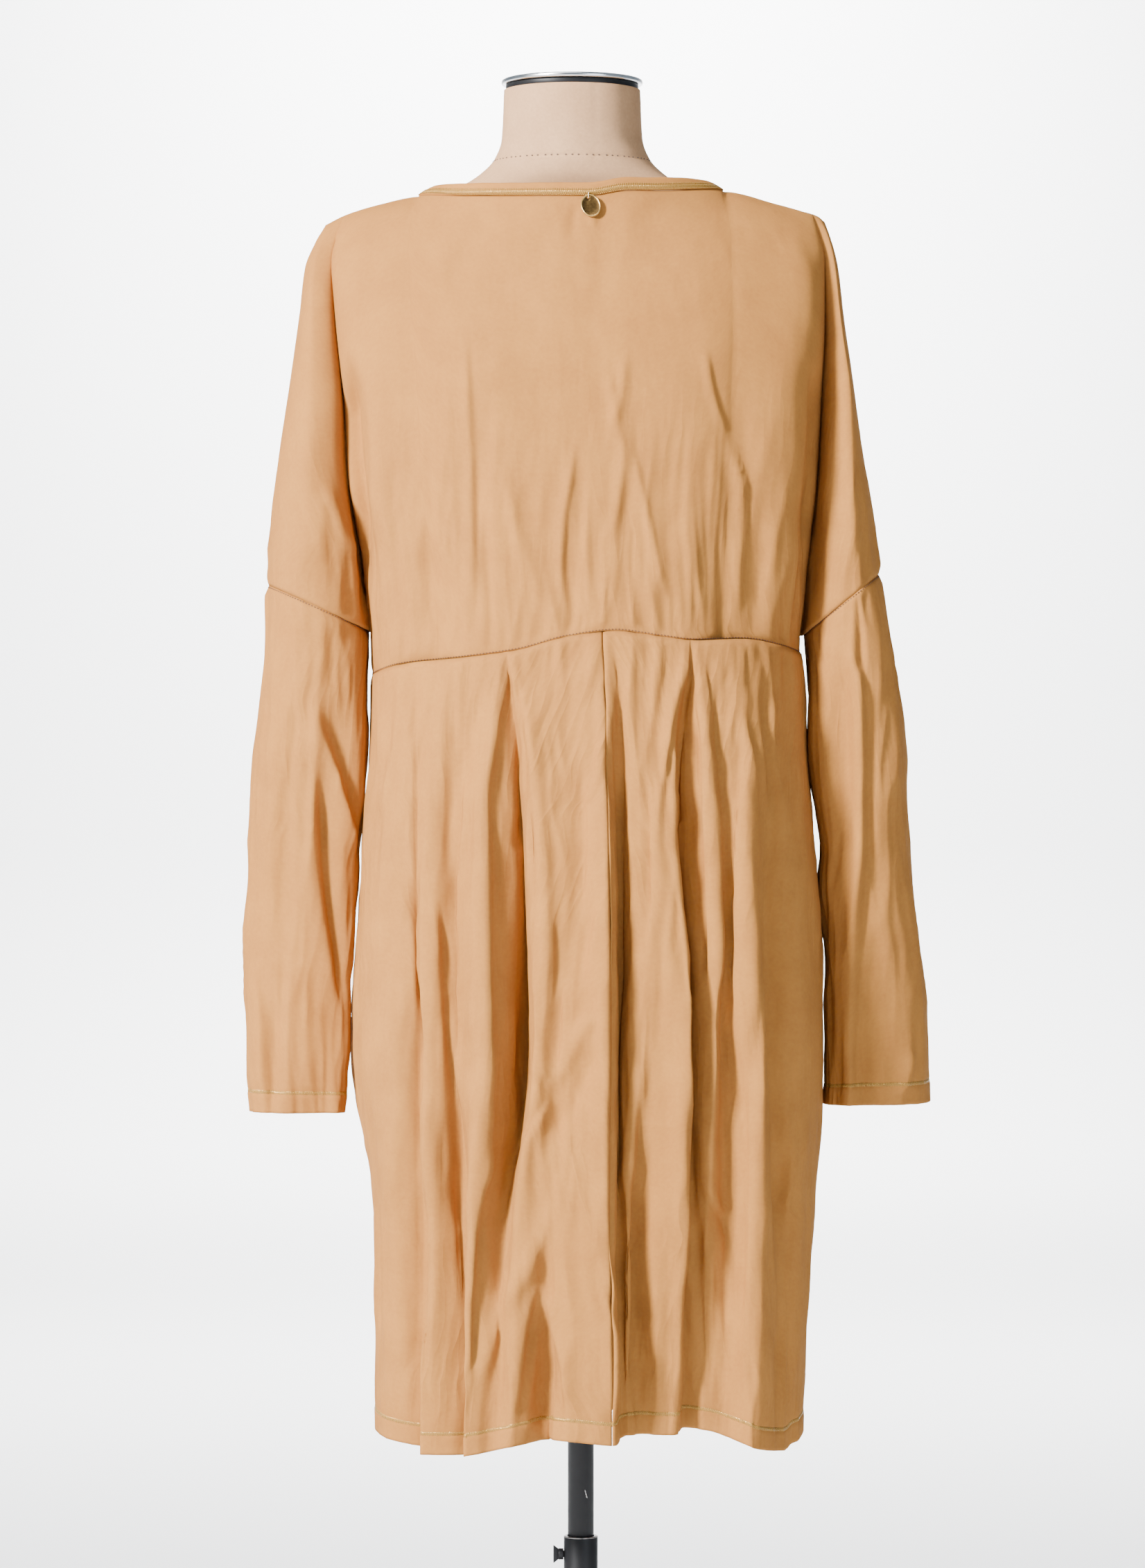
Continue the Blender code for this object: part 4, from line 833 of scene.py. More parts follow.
# Columns of cloth between the stations of a bodice: left edge, crest and valley, the ends of
# the neck, and right valley, crest and edge.
BODICE_STEPS = {BACK: (16, 16, 36, 140, 36, 16, 16), FRONT: (12, 12, 26, 100, 26, 12, 12)}
BODICE_ROWS, BODY_ROWS = 136, 16           # rows in all, and below the underarms
TIP_EVENED, TIP_REACH = 26, 0.34           # columns of the neck's corners that are evened out
EDGE_WIDTH = 1.4           # mm across which the cloth of an edge steps down
FRONT_HOLLOW = 0.5         # depth of the hollows in front, as a share of those at the back
SEAM_HOLD, TOP_HOLD = 0.009, 0.012         # lengths over which creases begin below a seam
CREASE_REACHES, CREASE_FADE = 2.6, 0.25    # how far a crease is worked out; its fading ends
SLACK_SIZE, SLACK_DEPTH = 0.034, 0.0011
SMOOTH_BELOW, SMOOTH_SPAN = 1.30, 0.16     # height from which crumples grow, going down

upper_left, upper_right = columns(UPPER_LEFT), columns(UPPER_RIGHT)
shoulder_height, waist_height = columns(SHOULDER_LINE)[0], columns(WAIST_LINE)[0]
trunk = columns(TRUNK)
neck_middle = (NECK_LEFT + NECK_RIGHT) / 2
neck_half = (NECK_RIGHT - NECK_LEFT) / 2
top_left, top_right = upper_left[3](0.0), upper_right[3](0.0)
top_middle, top_half = (top_left + top_right) / 2, (top_right - top_left) / 2
TRUNK_ANGLES = (
    0.0,
    math.acos(-(NECK_LEFT - top_middle) / top_half),
    math.acos(-(NECK_RIGHT - top_middle) / top_half),
    math.pi,
)


def shares(*counts):
    """Whole-number stations 0, 1, 2 ... with counts[i] equal steps between i and i + 1."""
    found = [0.0]
    for i, count in enumerate(counts):
        found += [i + (step + 1) / count for step in range(count)]
    return found


def ease(share):
    """Smooth step from 0 to 1."""
    share = np.clip(share, 0.0, 1.0)
    return share * share * (3 - 2 * share)


def neck_share(x):
    """1 on the centre line of the neck opening, 0 on the shoulders."""
    return max(0.0, 1.0 - ((x - neck_middle) / neck_half) ** 2)


def trunk_share(u):
    """Place across the trunk, -1 at the left valley and 1 at the right one."""
    i = min(int(u - 2), 2)
    return -math.cos(blend(TRUNK_ANGLES[i], TRUNK_ANGLES[i + 1], u - 2 - i))


def upper_arm(sides, turn, down):
    """Across and depth of the upper sleeve: turn is 0 at its edge, 1 crest, 2 valley."""
    edge, crest, crest_depth, valley, valley_depth = (column(down) for column in sides)
    if turn < 1:
        angle = turn * math.pi / 2
        return crest + (edge - crest) * math.cos(angle), crest_depth * math.sin(angle)
    angle = (turn - 1) * math.pi / 2
    depth = valley_depth + (crest_depth - valley_depth) * math.cos(angle)
    return crest + (valley - crest) * math.sin(angle), depth


def bodice_plan(u, v, depth_of):
    """Across and depth of the bodice at one place, before the shoulder is rounded."""
    down = min(v / UNDERARM, 1.0)
    if u < 2:
        return upper_arm(upper_left, u, down)
    if u > 5:
        return upper_arm(upper_right, 7 - u, down)
    left, right = upper_left[3](down), upper_right[3](down)
    below = max(0.0, (v - UNDERARM) / (1 - UNDERARM))
    share = trunk_share(u)
    valley = blend(upper_left[4](down), upper_right[4](down), (share + 1) / 2) * (1 - below)
    depth = valley + (depth_of(v) - valley) * round_off(share, BODY_SQUARENESS)
    return blend(left, right, (share + 1) / 2), depth


def drop_seam(sides, edge, underarm):
    """Height of a dropped armhole seam over each place across: one straight slope."""
    outer, valley = sides[0](1.0), sides[3](1.0)

    def height(x):
        return blend(edge, underarm, (x - outer) / (valley - outer))

    return height


drop_left = drop_seam(upper_left, DROP_LEFT, UNDERARM_LEFT)
drop_right = drop_seam(upper_right, DROP_RIGHT, UNDERARM_RIGHT)


def waist_at(side, x):
    """Height of the waist seam; the front one joins the same ends in a plain line."""
    (left, left_height), (right, right_height) = WAIST_LINE[0], WAIST_LINE[-1]
    if side == BACK:
        return waist_height(x)
    return blend(left_height, right_height, (x - left) / (right - left))


def bodice(side):
    """Outer surface of the back or front bodice as a function of its columns and rows."""
    depth_of = trunk[0] if side == BACK else trunk[1]
    neck_depth = NECK_BACK_DEPTH if side == BACK else NECK_FRONT_DEPTH
    neck_height = columns(NECK_BACK_LINE if side == BACK else NECK_FRONT_LINE)[0]

    def surface(u, v):
        u, v = min(max(u, 0.0), 7.0), min(max(v, 0.0), 1.0)
        x, depth = bodice_plan(u, v, depth_of)
        top_x = bodice_plan(u, 0.0, depth_of)[0]
        middle = neck_share(top_x) if 3 < u < 4 else 0.0
        top_depth = neck_depth * math.sqrt(middle)
        power = blend(SHOULDER_POWER, NAPE_POWER, math.sqrt(middle))
        rounding = math.sin(math.pi / 2 * min(1.0, v / SHOULDER_ROUND)) ** power
        y = side * blend(top_depth, depth, rounding)
        top = neck_height(top_x) if 3 <= u <= 4 else shoulder_height(top_x)
        if u < 2 or u > 5:
            bottom_x = bodice_plan(u, UNDERARM, depth_of)[0]
            bottom = drop_left(bottom_x) if u < 2 else drop_right(bottom_x)
            return Vector((x, y, blend(top, bottom, min(v / UNDERARM, 1.0))))
        share = trunk_share(u)
        waist = waist_at(side, bodice_plan(u, 1.0, depth_of)[0])
        underarm = UNDERARM_LEFT if share < 0 else UNDERARM_RIGHT
        middle_row = blend(blend(top, waist, UNDERARM), underarm, share ** 4)
        if v < UNDERARM:
            return Vector((x, y, blend(top, middle_row, v / UNDERARM)))
        return Vector((x, y, blend(middle_row, waist, (v - UNDERARM) / (1 - UNDERARM))))

    return surface


def seen(places):
    """Where places show on the pole's plane from the camera: across and height in mm."""
    scale = -CAMERA.y / (places[..., 1] - CAMERA.y)
    across = CAMERA.x + (places[..., 0] - CAMERA.x) * scale
    return across * 1000, (CAMERA.z + (places[..., 2] - CAMERA.z) * scale) * 1000


def mirrored(places):
    """The same for the unseen front, which gets like creases the other way round."""
    return -14 - places[..., 0] * 1000, places[..., 2] * 1000 + 6


def straight(places, aside=0, up=0):
    """Across and height of places in mm, moved aside and up."""
    return places[..., 0] * 1000 + aside, places[..., 2] * 1000 + up


def crease_field(across, height, creases, edges):
    """How far all creases and edges together move each place out, in metres.

    A crease is followed at four places between two of its points, and fades at both ends.
    """
    total = np.zeros(across.shape)
    rows = [(row, False) for row in creases] + [(row, True) for row in edges]
    for (_, out, left, right, *course), is_edge in rows:
        stops = list(range(len(course)))
        ways = [curve(stops, [point[axis] for point in course]) for axis in (0, 1)]
        path = np.array([
            [way(k / 4) for way in ways] for k in range(4 * (len(course) - 1) + 1)
        ])
        lengths = np.linalg.norm(np.diff(path, axis=0), axis=1)
        run = np.concatenate([[0.0], lengths.cumsum()])
        far = CREASE_REACHES * max(left, right)
        near = (
            (across > path[:, 0].min() - far) & (across < path[:, 0].max() + far)
            & (height > path[:, 1].min() - far) & (height < path[:, 1].max() + far)
        )
        if not near.any():
            continue
        x, z = across[near], height[near]
        best, rise = np.full(x.shape, 1e9), np.zeros(x.shape)
        for k, length in enumerate(lengths):
            (x0, z0), (x1, z1) = path[k], path[k + 1]
            t = np.clip(((x - x0) * (x1 - x0) + (z - z0) * (z1 - z0)) / length ** 2, 0, 1)
            aside, along = x - x0 - t * (x1 - x0), z - z0 - t * (z1 - z0)
            distance = np.hypot(aside, along)
            share = (run[k] + t * length) / run[-1]
            taper = ease(share / CREASE_FADE) * ease((1 - share) / CREASE_FADE)
            bump = out * taper * np.exp(-(distance / np.where(aside < 0, left, right)) ** 2)
            if is_edge:
                bump = bump * np.tanh(-np.copysign(distance, aside) / EDGE_WIDTH)
            rise = np.where(distance < best, bump, rise)
            best = np.minimum(distance, best)
        total[near] += rise
    return total / 1000


def outward(places, facing, closed=False):
    """Unit directions out of a grid of places, whose rows run down."""
    if closed:
        ring = np.concatenate([places[:, -2:-1], places, places[:, 1:2]], axis=1)
        across = ring[:, 2:] - ring[:, :-2]
    else:
        across = np.gradient(places, axis=1)
    n = np.cross(np.gradient(places, axis=0), across) * facing
    return n / np.maximum(np.linalg.norm(n, axis=2, keepdims=True), 1e-12)


def slack(places, size, amount):
    """Small uneven hollows and swells, longer down the cloth than across it."""
    flat = places.reshape(-1, 3)
    found = [
        noise.noise(Vector((p[0] / size, p[1] / size, p[2] / size / 2.6))) for p in flat
    ]
    return np.array(found).reshape(places.shape[:2]) * amount


def crumples(places):
    """Crisp uneven creases between the larger ones, in metres; they mostly hang straight.

    The large ones come and go in patches, and the small ones are everywhere.
    """
    found = []
    for x, y, z in places.reshape(-1, 3):
        sway = 0.010 * noise.noise(Vector((x, y, z)) / 0.12)
        where = Vector((x + sway, y, z / 6.5))
        patch = ease(0.5 + 1.2 * noise.noise(Vector((x, y, z / 2.2)) / 0.045))
        large = abs(noise.noise(where / 0.022)) - 0.22
        small = abs(noise.noise(where / 0.0095 + Vector((9.0, 4.0, 2.0)))) - 0.2
        found.append(-0.0080 * patch * large - 0.0022 * small)
    return np.array(found).reshape(places.shape[:2])


def untangled(places, before):
    """The same places, spread again wherever creases push neighbouring columns together."""
    for _ in range(10):
        step, was = np.diff(places, axis=1), np.diff(before, axis=1)
        crowded = (step * was).sum(axis=2) < 0.3 * (was ** 2).sum(axis=2)
        loose = (crowded[:, 1:] | crowded[:, :-1])[..., None]
        middle = (places[:, 2:] + places[:, :-2]) / 2
        places[:, 1:-1] = np.where(loose, middle, places[:, 1:-1])
    return places


def drape(places, facing, look, creases, edges, hold, closed=False):
    """The places moved out by their creases; hold is 0 where a seam keeps the cloth."""
    # Creases fade where the cloth turns to the side, and crumples above the shoulder blades.
    n = outward(places, facing, closed)
    turned_to = ease((np.abs(n[..., 1]) - 0.12) / 0.4)
    rise = crease_field(*look(places), creases, edges) * turned_to
    rise += slack(places, SLACK_SIZE, SLACK_DEPTH)
    crumpled = ease((SMOOTH_BELOW - places[..., 2]) / SMOOTH_SPAN)
    rise += crumples(places) * (0.1 + 0.9 * crumpled)
    return untangled(places + n * (rise * hold)[..., None], places)


jersey = cloth_material(
    "camel_jersey", (0.440, 0.190, 0.043), (0.330, 0.134, 0.031), 900.0, 0.0, 0.88, 0.00030, 0.0015
)


def clothe(name, places, facing, node, closed=False, missing=None):
    """Thin jersey on a grid of places, which takes the place of a CAD node."""
    made = cloth_grid(name, places, jersey, closed, facing, missing)
    skin = made.modifiers.new("Cloth", "SOLIDIFY")
    skin.thickness = CLOTH
    skin.offset = -1.0
    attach(made, "dress_on_form")
    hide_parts(node)
    return made


def bodice_places(side):
    """Grid of a bodice, the columns it runs through and the row of the underarms."""
    surface = bodice(side)
    stations = shares(*BODICE_STEPS[side])
    drop = list(UNDERARM * (np.linspace(0, 1, BODICE_ROWS - BODY_ROWS) ** 1.25))
    rows = drop + list(np.linspace(UNDERARM, 1.0, BODY_ROWS + 1))[1:]
    places = np.array([[surface(u, v)[:] for u in stations] for v in rows])
    for j, u in enumerate(stations):
        if u in (0, 7):
            places[:, j, 1] = side * SEAM / 2
        elif u in (2, 5):
            places[len(drop):, j, 1] = side * SEAM / 2
        if not 3 < u < 4:
            places[0, j, 1] = side * SEAM / 2
    return places, np.array(stations), len(drop) - 1


bodice_edges = {}
for side, look, name, node in (
    (BACK, seen, "back_bodice_cloth", "back_bodice"),
    (FRONT, mirrored, "front_bodice_cloth", "front_bodice"),
):
    places, stations, underarm_row = bodice_places(side)
    padded = np.pad(places[..., 1], ((0, 0), (TIP_EVENED, TIP_EVENED)), mode="edge")
    window = 2 * TIP_EVENED + 1
    evened = sum(padded[:, k:k + len(stations)] for k in range(window)) / window
    near_tip = dip(np.minimum(abs(stations - 3), abs(stations - 4)), 1.0, TIP_REACH)
    below = ease((places[0:1, :, 2] - places[..., 2]) / 0.03)
    places[..., 1] += (evened - places[..., 1]) * near_tip * below
    hollow = crease_field(*look(places), ARMHOLE_HOLLOWS, ())
    places[..., 1] += hollow * side * (1.0 if side == BACK else FRONT_HOLLOW)
    facing = -side
    on_wing = (stations < 2) | (stations > 5)
    last = np.where(on_wing, underarm_row, len(places) - 1)
    to_seam = places[..., 2] - places[last, np.arange(len(stations)), 2]
    from_top = places[0:1, :, 2] - places[..., 2]
    hold = ease(to_seam / SEAM_HOLD) * ease(from_top / TOP_HOLD)
    hold[:, [0, -1]] = 0.0
    places = drape(places, facing, look, BODICE_CREASES, BODICE_EDGES, hold)
    n = outward(places, facing)
    places -= n * dip(to_seam, *SEAM_DIP)[..., None]
    missing = np.zeros(places.shape[:2], bool)
    missing[underarm_row + 1:, on_wing] = True
    bodice_edges[side] = places, n, (stations >= 2) & (stations <= 5)
    cloth = clothe(name, places, facing, node, missing=missing)

# ================================================================ neck band
# The neck edge is bound with a folded strip of the same jersey. A gold thread
# coverstitch, flat and laced, holds its lower half.

BAND_PROFILE = (
    # out, up
    (0.0003, 0.0002), (0.0011, 0.0012), (0.0013, 0.0032), (0.0012, 0.0062), (0.0010, 0.0088),
    (0.0004, 0.0104), (-0.0008, 0.0108), (-0.0018, 0.0102), (-0.0024, 0.0084),
    (-0.0025, 0.0040), (-0.0022, 0.0010), (-0.0012, 0.0002),
)
BAND_LEAN = math.radians(58)                # towards the neck, on the shoulders
BAND_STITCH_UP, BAND_STITCH_OUT = 0.0033, 0.00125
BAND_SLACK_SIZE, BAND_SLACK_DEPTH = 0.02, 0.0006
NECK_STEPS = 150
COVERSTITCH_HEIGHT, COVERSTITCH_PITCH, COVERSTITCH_OUT = 0.0046, 0.0015, 0.0004
ROW_SHARE, LACE_SHARE = 0.92, 1.1          # length of a stitch, as a share of its step
GOLD_SIZE = 1.0, 0.00042, 0.00058          # scale along a stitch, then its radii in metres


def ring_frames(points):
    """Outward and upward directions of the band, which leans inwards on the shoulders."""
    middle = sum(points, Vector()) / len(points)
    found, ups = [], []
    for i, point in enumerate(points):
        along = points[(i + 1) % len(points)] - points[i - 1]
        n = Vector((along.y, -along.x, 0.0)).normalized()
        n = -n if n.dot(point - middle) < 0 else n
        lean = BAND_LEAN * (1 - neck_share(point.x)) ** 2
        found.append(Vector((n.x * math.cos(lean), n.y * math.cos(lean), math.sin(lean))))
        ups.append(Vector((-n.x * math.sin(lean), -n.y * math.sin(lean), math.cos(lean))))
    return found, ups


def neck_edge():
    """The neck opening, along the back from left to right and along the front again."""
    back, front = bodice(BACK), bodice(FRONT)
    places = [3 + i / NECK_STEPS for i in range(NECK_STEPS + 1)]
    return [back(u, 0.0) for u in places] + [front(u, 0.0) for u in reversed(places[1:-1])]


edge = neck_edge()
outs, ups = ring_frames(edge)
band_places = np.array([
    [p + out * n + rise * up for p, n, up in zip(edge + edge[:1], outs + outs[:1], ups + ups[:1])]
    for out, rise in reversed(BAND_PROFILE + BAND_PROFILE[:1])
])
band_places[..., 2] += slack(band_places, BAND_SLACK_SIZE, BAND_SLACK_DEPTH)
band = cloth_grid("neck_band_cloth", band_places, jersey, closed=True)
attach(band, "dress_on_form")
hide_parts("neck_binding")

gold, gold_shader = principled("gold_thread", (0.52, 0.29, 0.07), 0.42, Metallic=0.4)
add, feed = nodes_of(gold)
glint = add("TexNoise", Vector=add("TexCoord").outputs["Object"], Scale=900.0, Detail=1.0)
glitter = add("MapRange", Value=glint, From_Min=0.42, From_Max=0.60, To_Min=0.62, To_Max=0.16)
feed(gold_shader.inputs["Roughness"], glitter)
# Painted glints: the thread's colour is painted a lighter gold on the same spots that the noise makes
# glossier, and darker elsewhere.
tinted(gold, gold_shader, glint, (0.17, 0.078, 0.012), (0.50, 0.27, 0.048))


def even_steps(points, normals, pitch, closed):
    """Points and directions at equal distances along a run of points."""
    points, normals = [Vector(p) for p in points], [Vector(n) for n in normals]
    if closed:
        points, normals = points + points[:1], normals + normals[:1]
    lengths = [(b - a).length for a, b in zip(points, points[1:])]
    count = max(2, round(sum(lengths) / pitch))
    step, found, k, passed = sum(lengths) / count, [], 0, 0.0
    for i in range(count + 1):
        at = i * step
        while k < len(lengths) - 1 and passed + lengths[k] < at:
            passed += lengths[k]
            k += 1
        share = min(1.0, (at - passed) / max(lengths[k], 1e-9))
        found.append((
            points[k].lerp(points[k + 1], share),
            normals[k].lerp(normals[k + 1], share).normalized(),
        ))
    return found


def between(start, end, n, length_share):
    """Centre and axes of a stitch from start to end, on a surface that faces n."""
    along = end - start
    tangent = along.normalized()
    aside = n.cross(tangent).normalized()
    return (start + end) / 2, (tangent * (along.length / 2 * length_share), n, aside)


def coverstitch(name, points, normals, closed=True):
    """Two rows of needle thread with a third laced from one to the other."""
    stops = even_steps(points, normals, COVERSTITCH_PITCH, closed)
    runs = []
    for (a, n), (b, _) in zip(stops, stops[1:]):
        up = n.cross(b - a).normalized()
        up = -up if up.z < 0 else up
        rise = up * COVERSTITCH_HEIGHT / 2
        middle = (a + b) / 2
        for row in (rise, -rise):
            runs.append(between(a + row, b + row, n, ROW_SHARE))
        runs.append(between(a - rise, middle + rise, n, LACE_SHARE))
        runs.append(between(middle + rise, b - rise, n, LACE_SHARE))
    pin_dots(name, runs, GOLD_SIZE, gold, "dress_on_form")


def lifted(points, normals, out, up=0.0):
    """Points of a run of stitches, which lies a little out from the cloth and up."""
    rise = Vector((0, 0, up))
    return [Vector(p) + rise + out * Vector(n) for p, n in zip(points, normals)]


seam_line = [
    p + BAND_STITCH_OUT * n + BAND_STITCH_UP * up for p, n, up in zip(edge, outs, ups)
]
coverstitch("neck_coverstitch", seam_line, outs)

# ================================================================ skirts
# The skirt is two back panels, joined down the middle of the back, and a front panel. Pleats
# are caught in the waist seam, and the hem is turned up once under a gold coverstitch.

# Skirt, by share of its length from the waist seam (0) to the hem (1).
SKIRT = (
    # down, left side seam, right side seam, back depth, front depth
    (0.000, -0.1680, 0.1770, 0.118, 0.114),
    (0.206, -0.1690, 0.1860, 0.134, 0.126),
    (0.492, -0.1790, 0.1945, 0.150, 0.138),
    (0.730, -0.1640, 0.1870, 0.152, 0.138),
    (1.000, -0.1630, 0.1765, 0.148, 0.132),
)
FOLD_LEVELS = (0.0, 0.206, 0.492, 0.730, 1.0)

# Folds of the back skirt, left to right: where each line runs at the five levels, how far it
# stands out (+) or in (-) at the lower four, and the height of the hem on it. All in mm.
BACK_FOLDS = (
    # name, waist, hip, thigh, knee, hem, out at hip, thigh, knee, hem, hem height
    ("side_left", -168, -169, -179, -164, -163, 0, 0, 0, 0, 458),
    ("ridge_a", -144, -146, -138, -146, -147, 6, 11, 9, 7, 452),
    ("valley_a", -129, -129, -125, -122, -126, -1, -4, -9, -8, 447),
    ("ridge_b", -107, -114, -114, -116, -117, 2, 6, 9, 11, 444),
    ("valley_b", -83, -99, -102, -95, -90, -4, -12, -15, -10, 444),
    ("pleat_left_out", -62, -72, -70, -83, -85, 4, 12, 10, 12, 445),
    ("pleat_left", -58.5, -52, -50, -66, -68, -20, -38, -16, 2, 449),
    ("pleat_left_in", -55, -35, -30, -47, -52, 4, 12, 4, 8, 453),
    ("valley_c", -34, -21, -16, -28, -29, 4, 6, 2, -20, 457),
    ("ridge_c", -13, -5, -3, -7, -12, 4, 8, 10, 9, 458),
    ("centre", 17, 21, 23, 22, 23, 9, 17, 15, 12, 455),
    ("valley_d", 28, 33.5, 32.5, 30, 32, -5, -13, -9, -5, 459),
    ("ridge_d", 40, 43, 44, 36, 37, 1, 1, -2, -4, 461),
    ("valley_e", 53, 53, 55, 43, 53, 1, 2, -14, -17, 461),
    ("pleat_right_in", 82.5, 69, 81, 82, 74, 6, 12, 2, -10, 460),
    ("pleat_right", 87, 86, 90, 88, 95, -20, -30, -20, -26, 464),
    ("pleat_right_out", 91.5, 100, 105, 102, 109, 4, 2, -7, -16, 462),
    ("valley_f", 100, 109.5, 117, 121, 119, -2, -11, -14, -9, 458),
    ("ridge_f", 121, 122.5, 131, 134, 125, 8, 15, 13, 14, 450),
    ("valley_g", 145, 146, 148, 156, 158, 0, -3, 2, 4, 443),
    ("ridge_g", 158, 163, 168, 169, 166, 4, 7, 6, 5, 447),
    ("side_right", 177, 186, 194.5, 187, 176.5, 0, 0, 0, 0, 459),
)
CENTRE_BACK = 10           # row of the table that is the centre back seam

# Folds of the front skirt, which hangs plainly with two soft pleats like those of the back.
FRONT_FOLDS = (
    # name, waist, hip, thigh, knee, hem, out at hip, thigh, knee, hem, hem height
    ("side_left", -168, -169, -179, -164, -163, 0, 0, 0, 0, 458),
    ("ridge_a", -156, -162, -172, -160, -156, 5, 9, 6, 4, 456),
    ("valley_a", -128, -134, -140, -136, -130, -2, -7, -8, -6, 454),
    ("ridge_b", -100, -104, -108, -110, -108, 4, 9, 11, 11, 448),
    ("valley_b", -78, -82, -80, -84, -82, -3, -10, -12, -8, 450),
    ("pleat_left_out", -68, -68, -63, -60, -58, 4, 10, 11, 12, 446),
    ("pleat_left", -62, -49, -43, -42, -40, -16, -24, -15, -8, 450),
    ("pleat_left_in", -56, -30, -22, -22, -22, 4, 9, 6, 7, 448),
    ("centre", 5, 6, 8, 6, 4, 5, 6, 4, 0, 451),
    ("pleat_right_in", 66, 42, 36, 38, 36, 4, 9, 8, 9, 447),
    ("pleat_right", 72, 61, 56, 58, 60, -16, -24, -18, -10, 450),
    ("pleat_right_out", 78, 80, 78, 78, 82, 4, 10, 9, 11, 446),
    ("valley_c", 102, 106, 106, 108, 108, -2, -9, -12, -8, 451),
    ("ridge_c", 126, 132, 136, 134, 130, 4, 9, 10, 10, 448),
    ("valley_d", 150, 156, 162, 156, 150, -1, -6, -7, -5, 454),
    ("ridge_d", 166, 176, 186, 178, 168, 4, 7, 5, 4, 457),
    ("side_right", 177, 186, 194.5, 187, 176.5, 0, 0, 0, 0, 459),
)

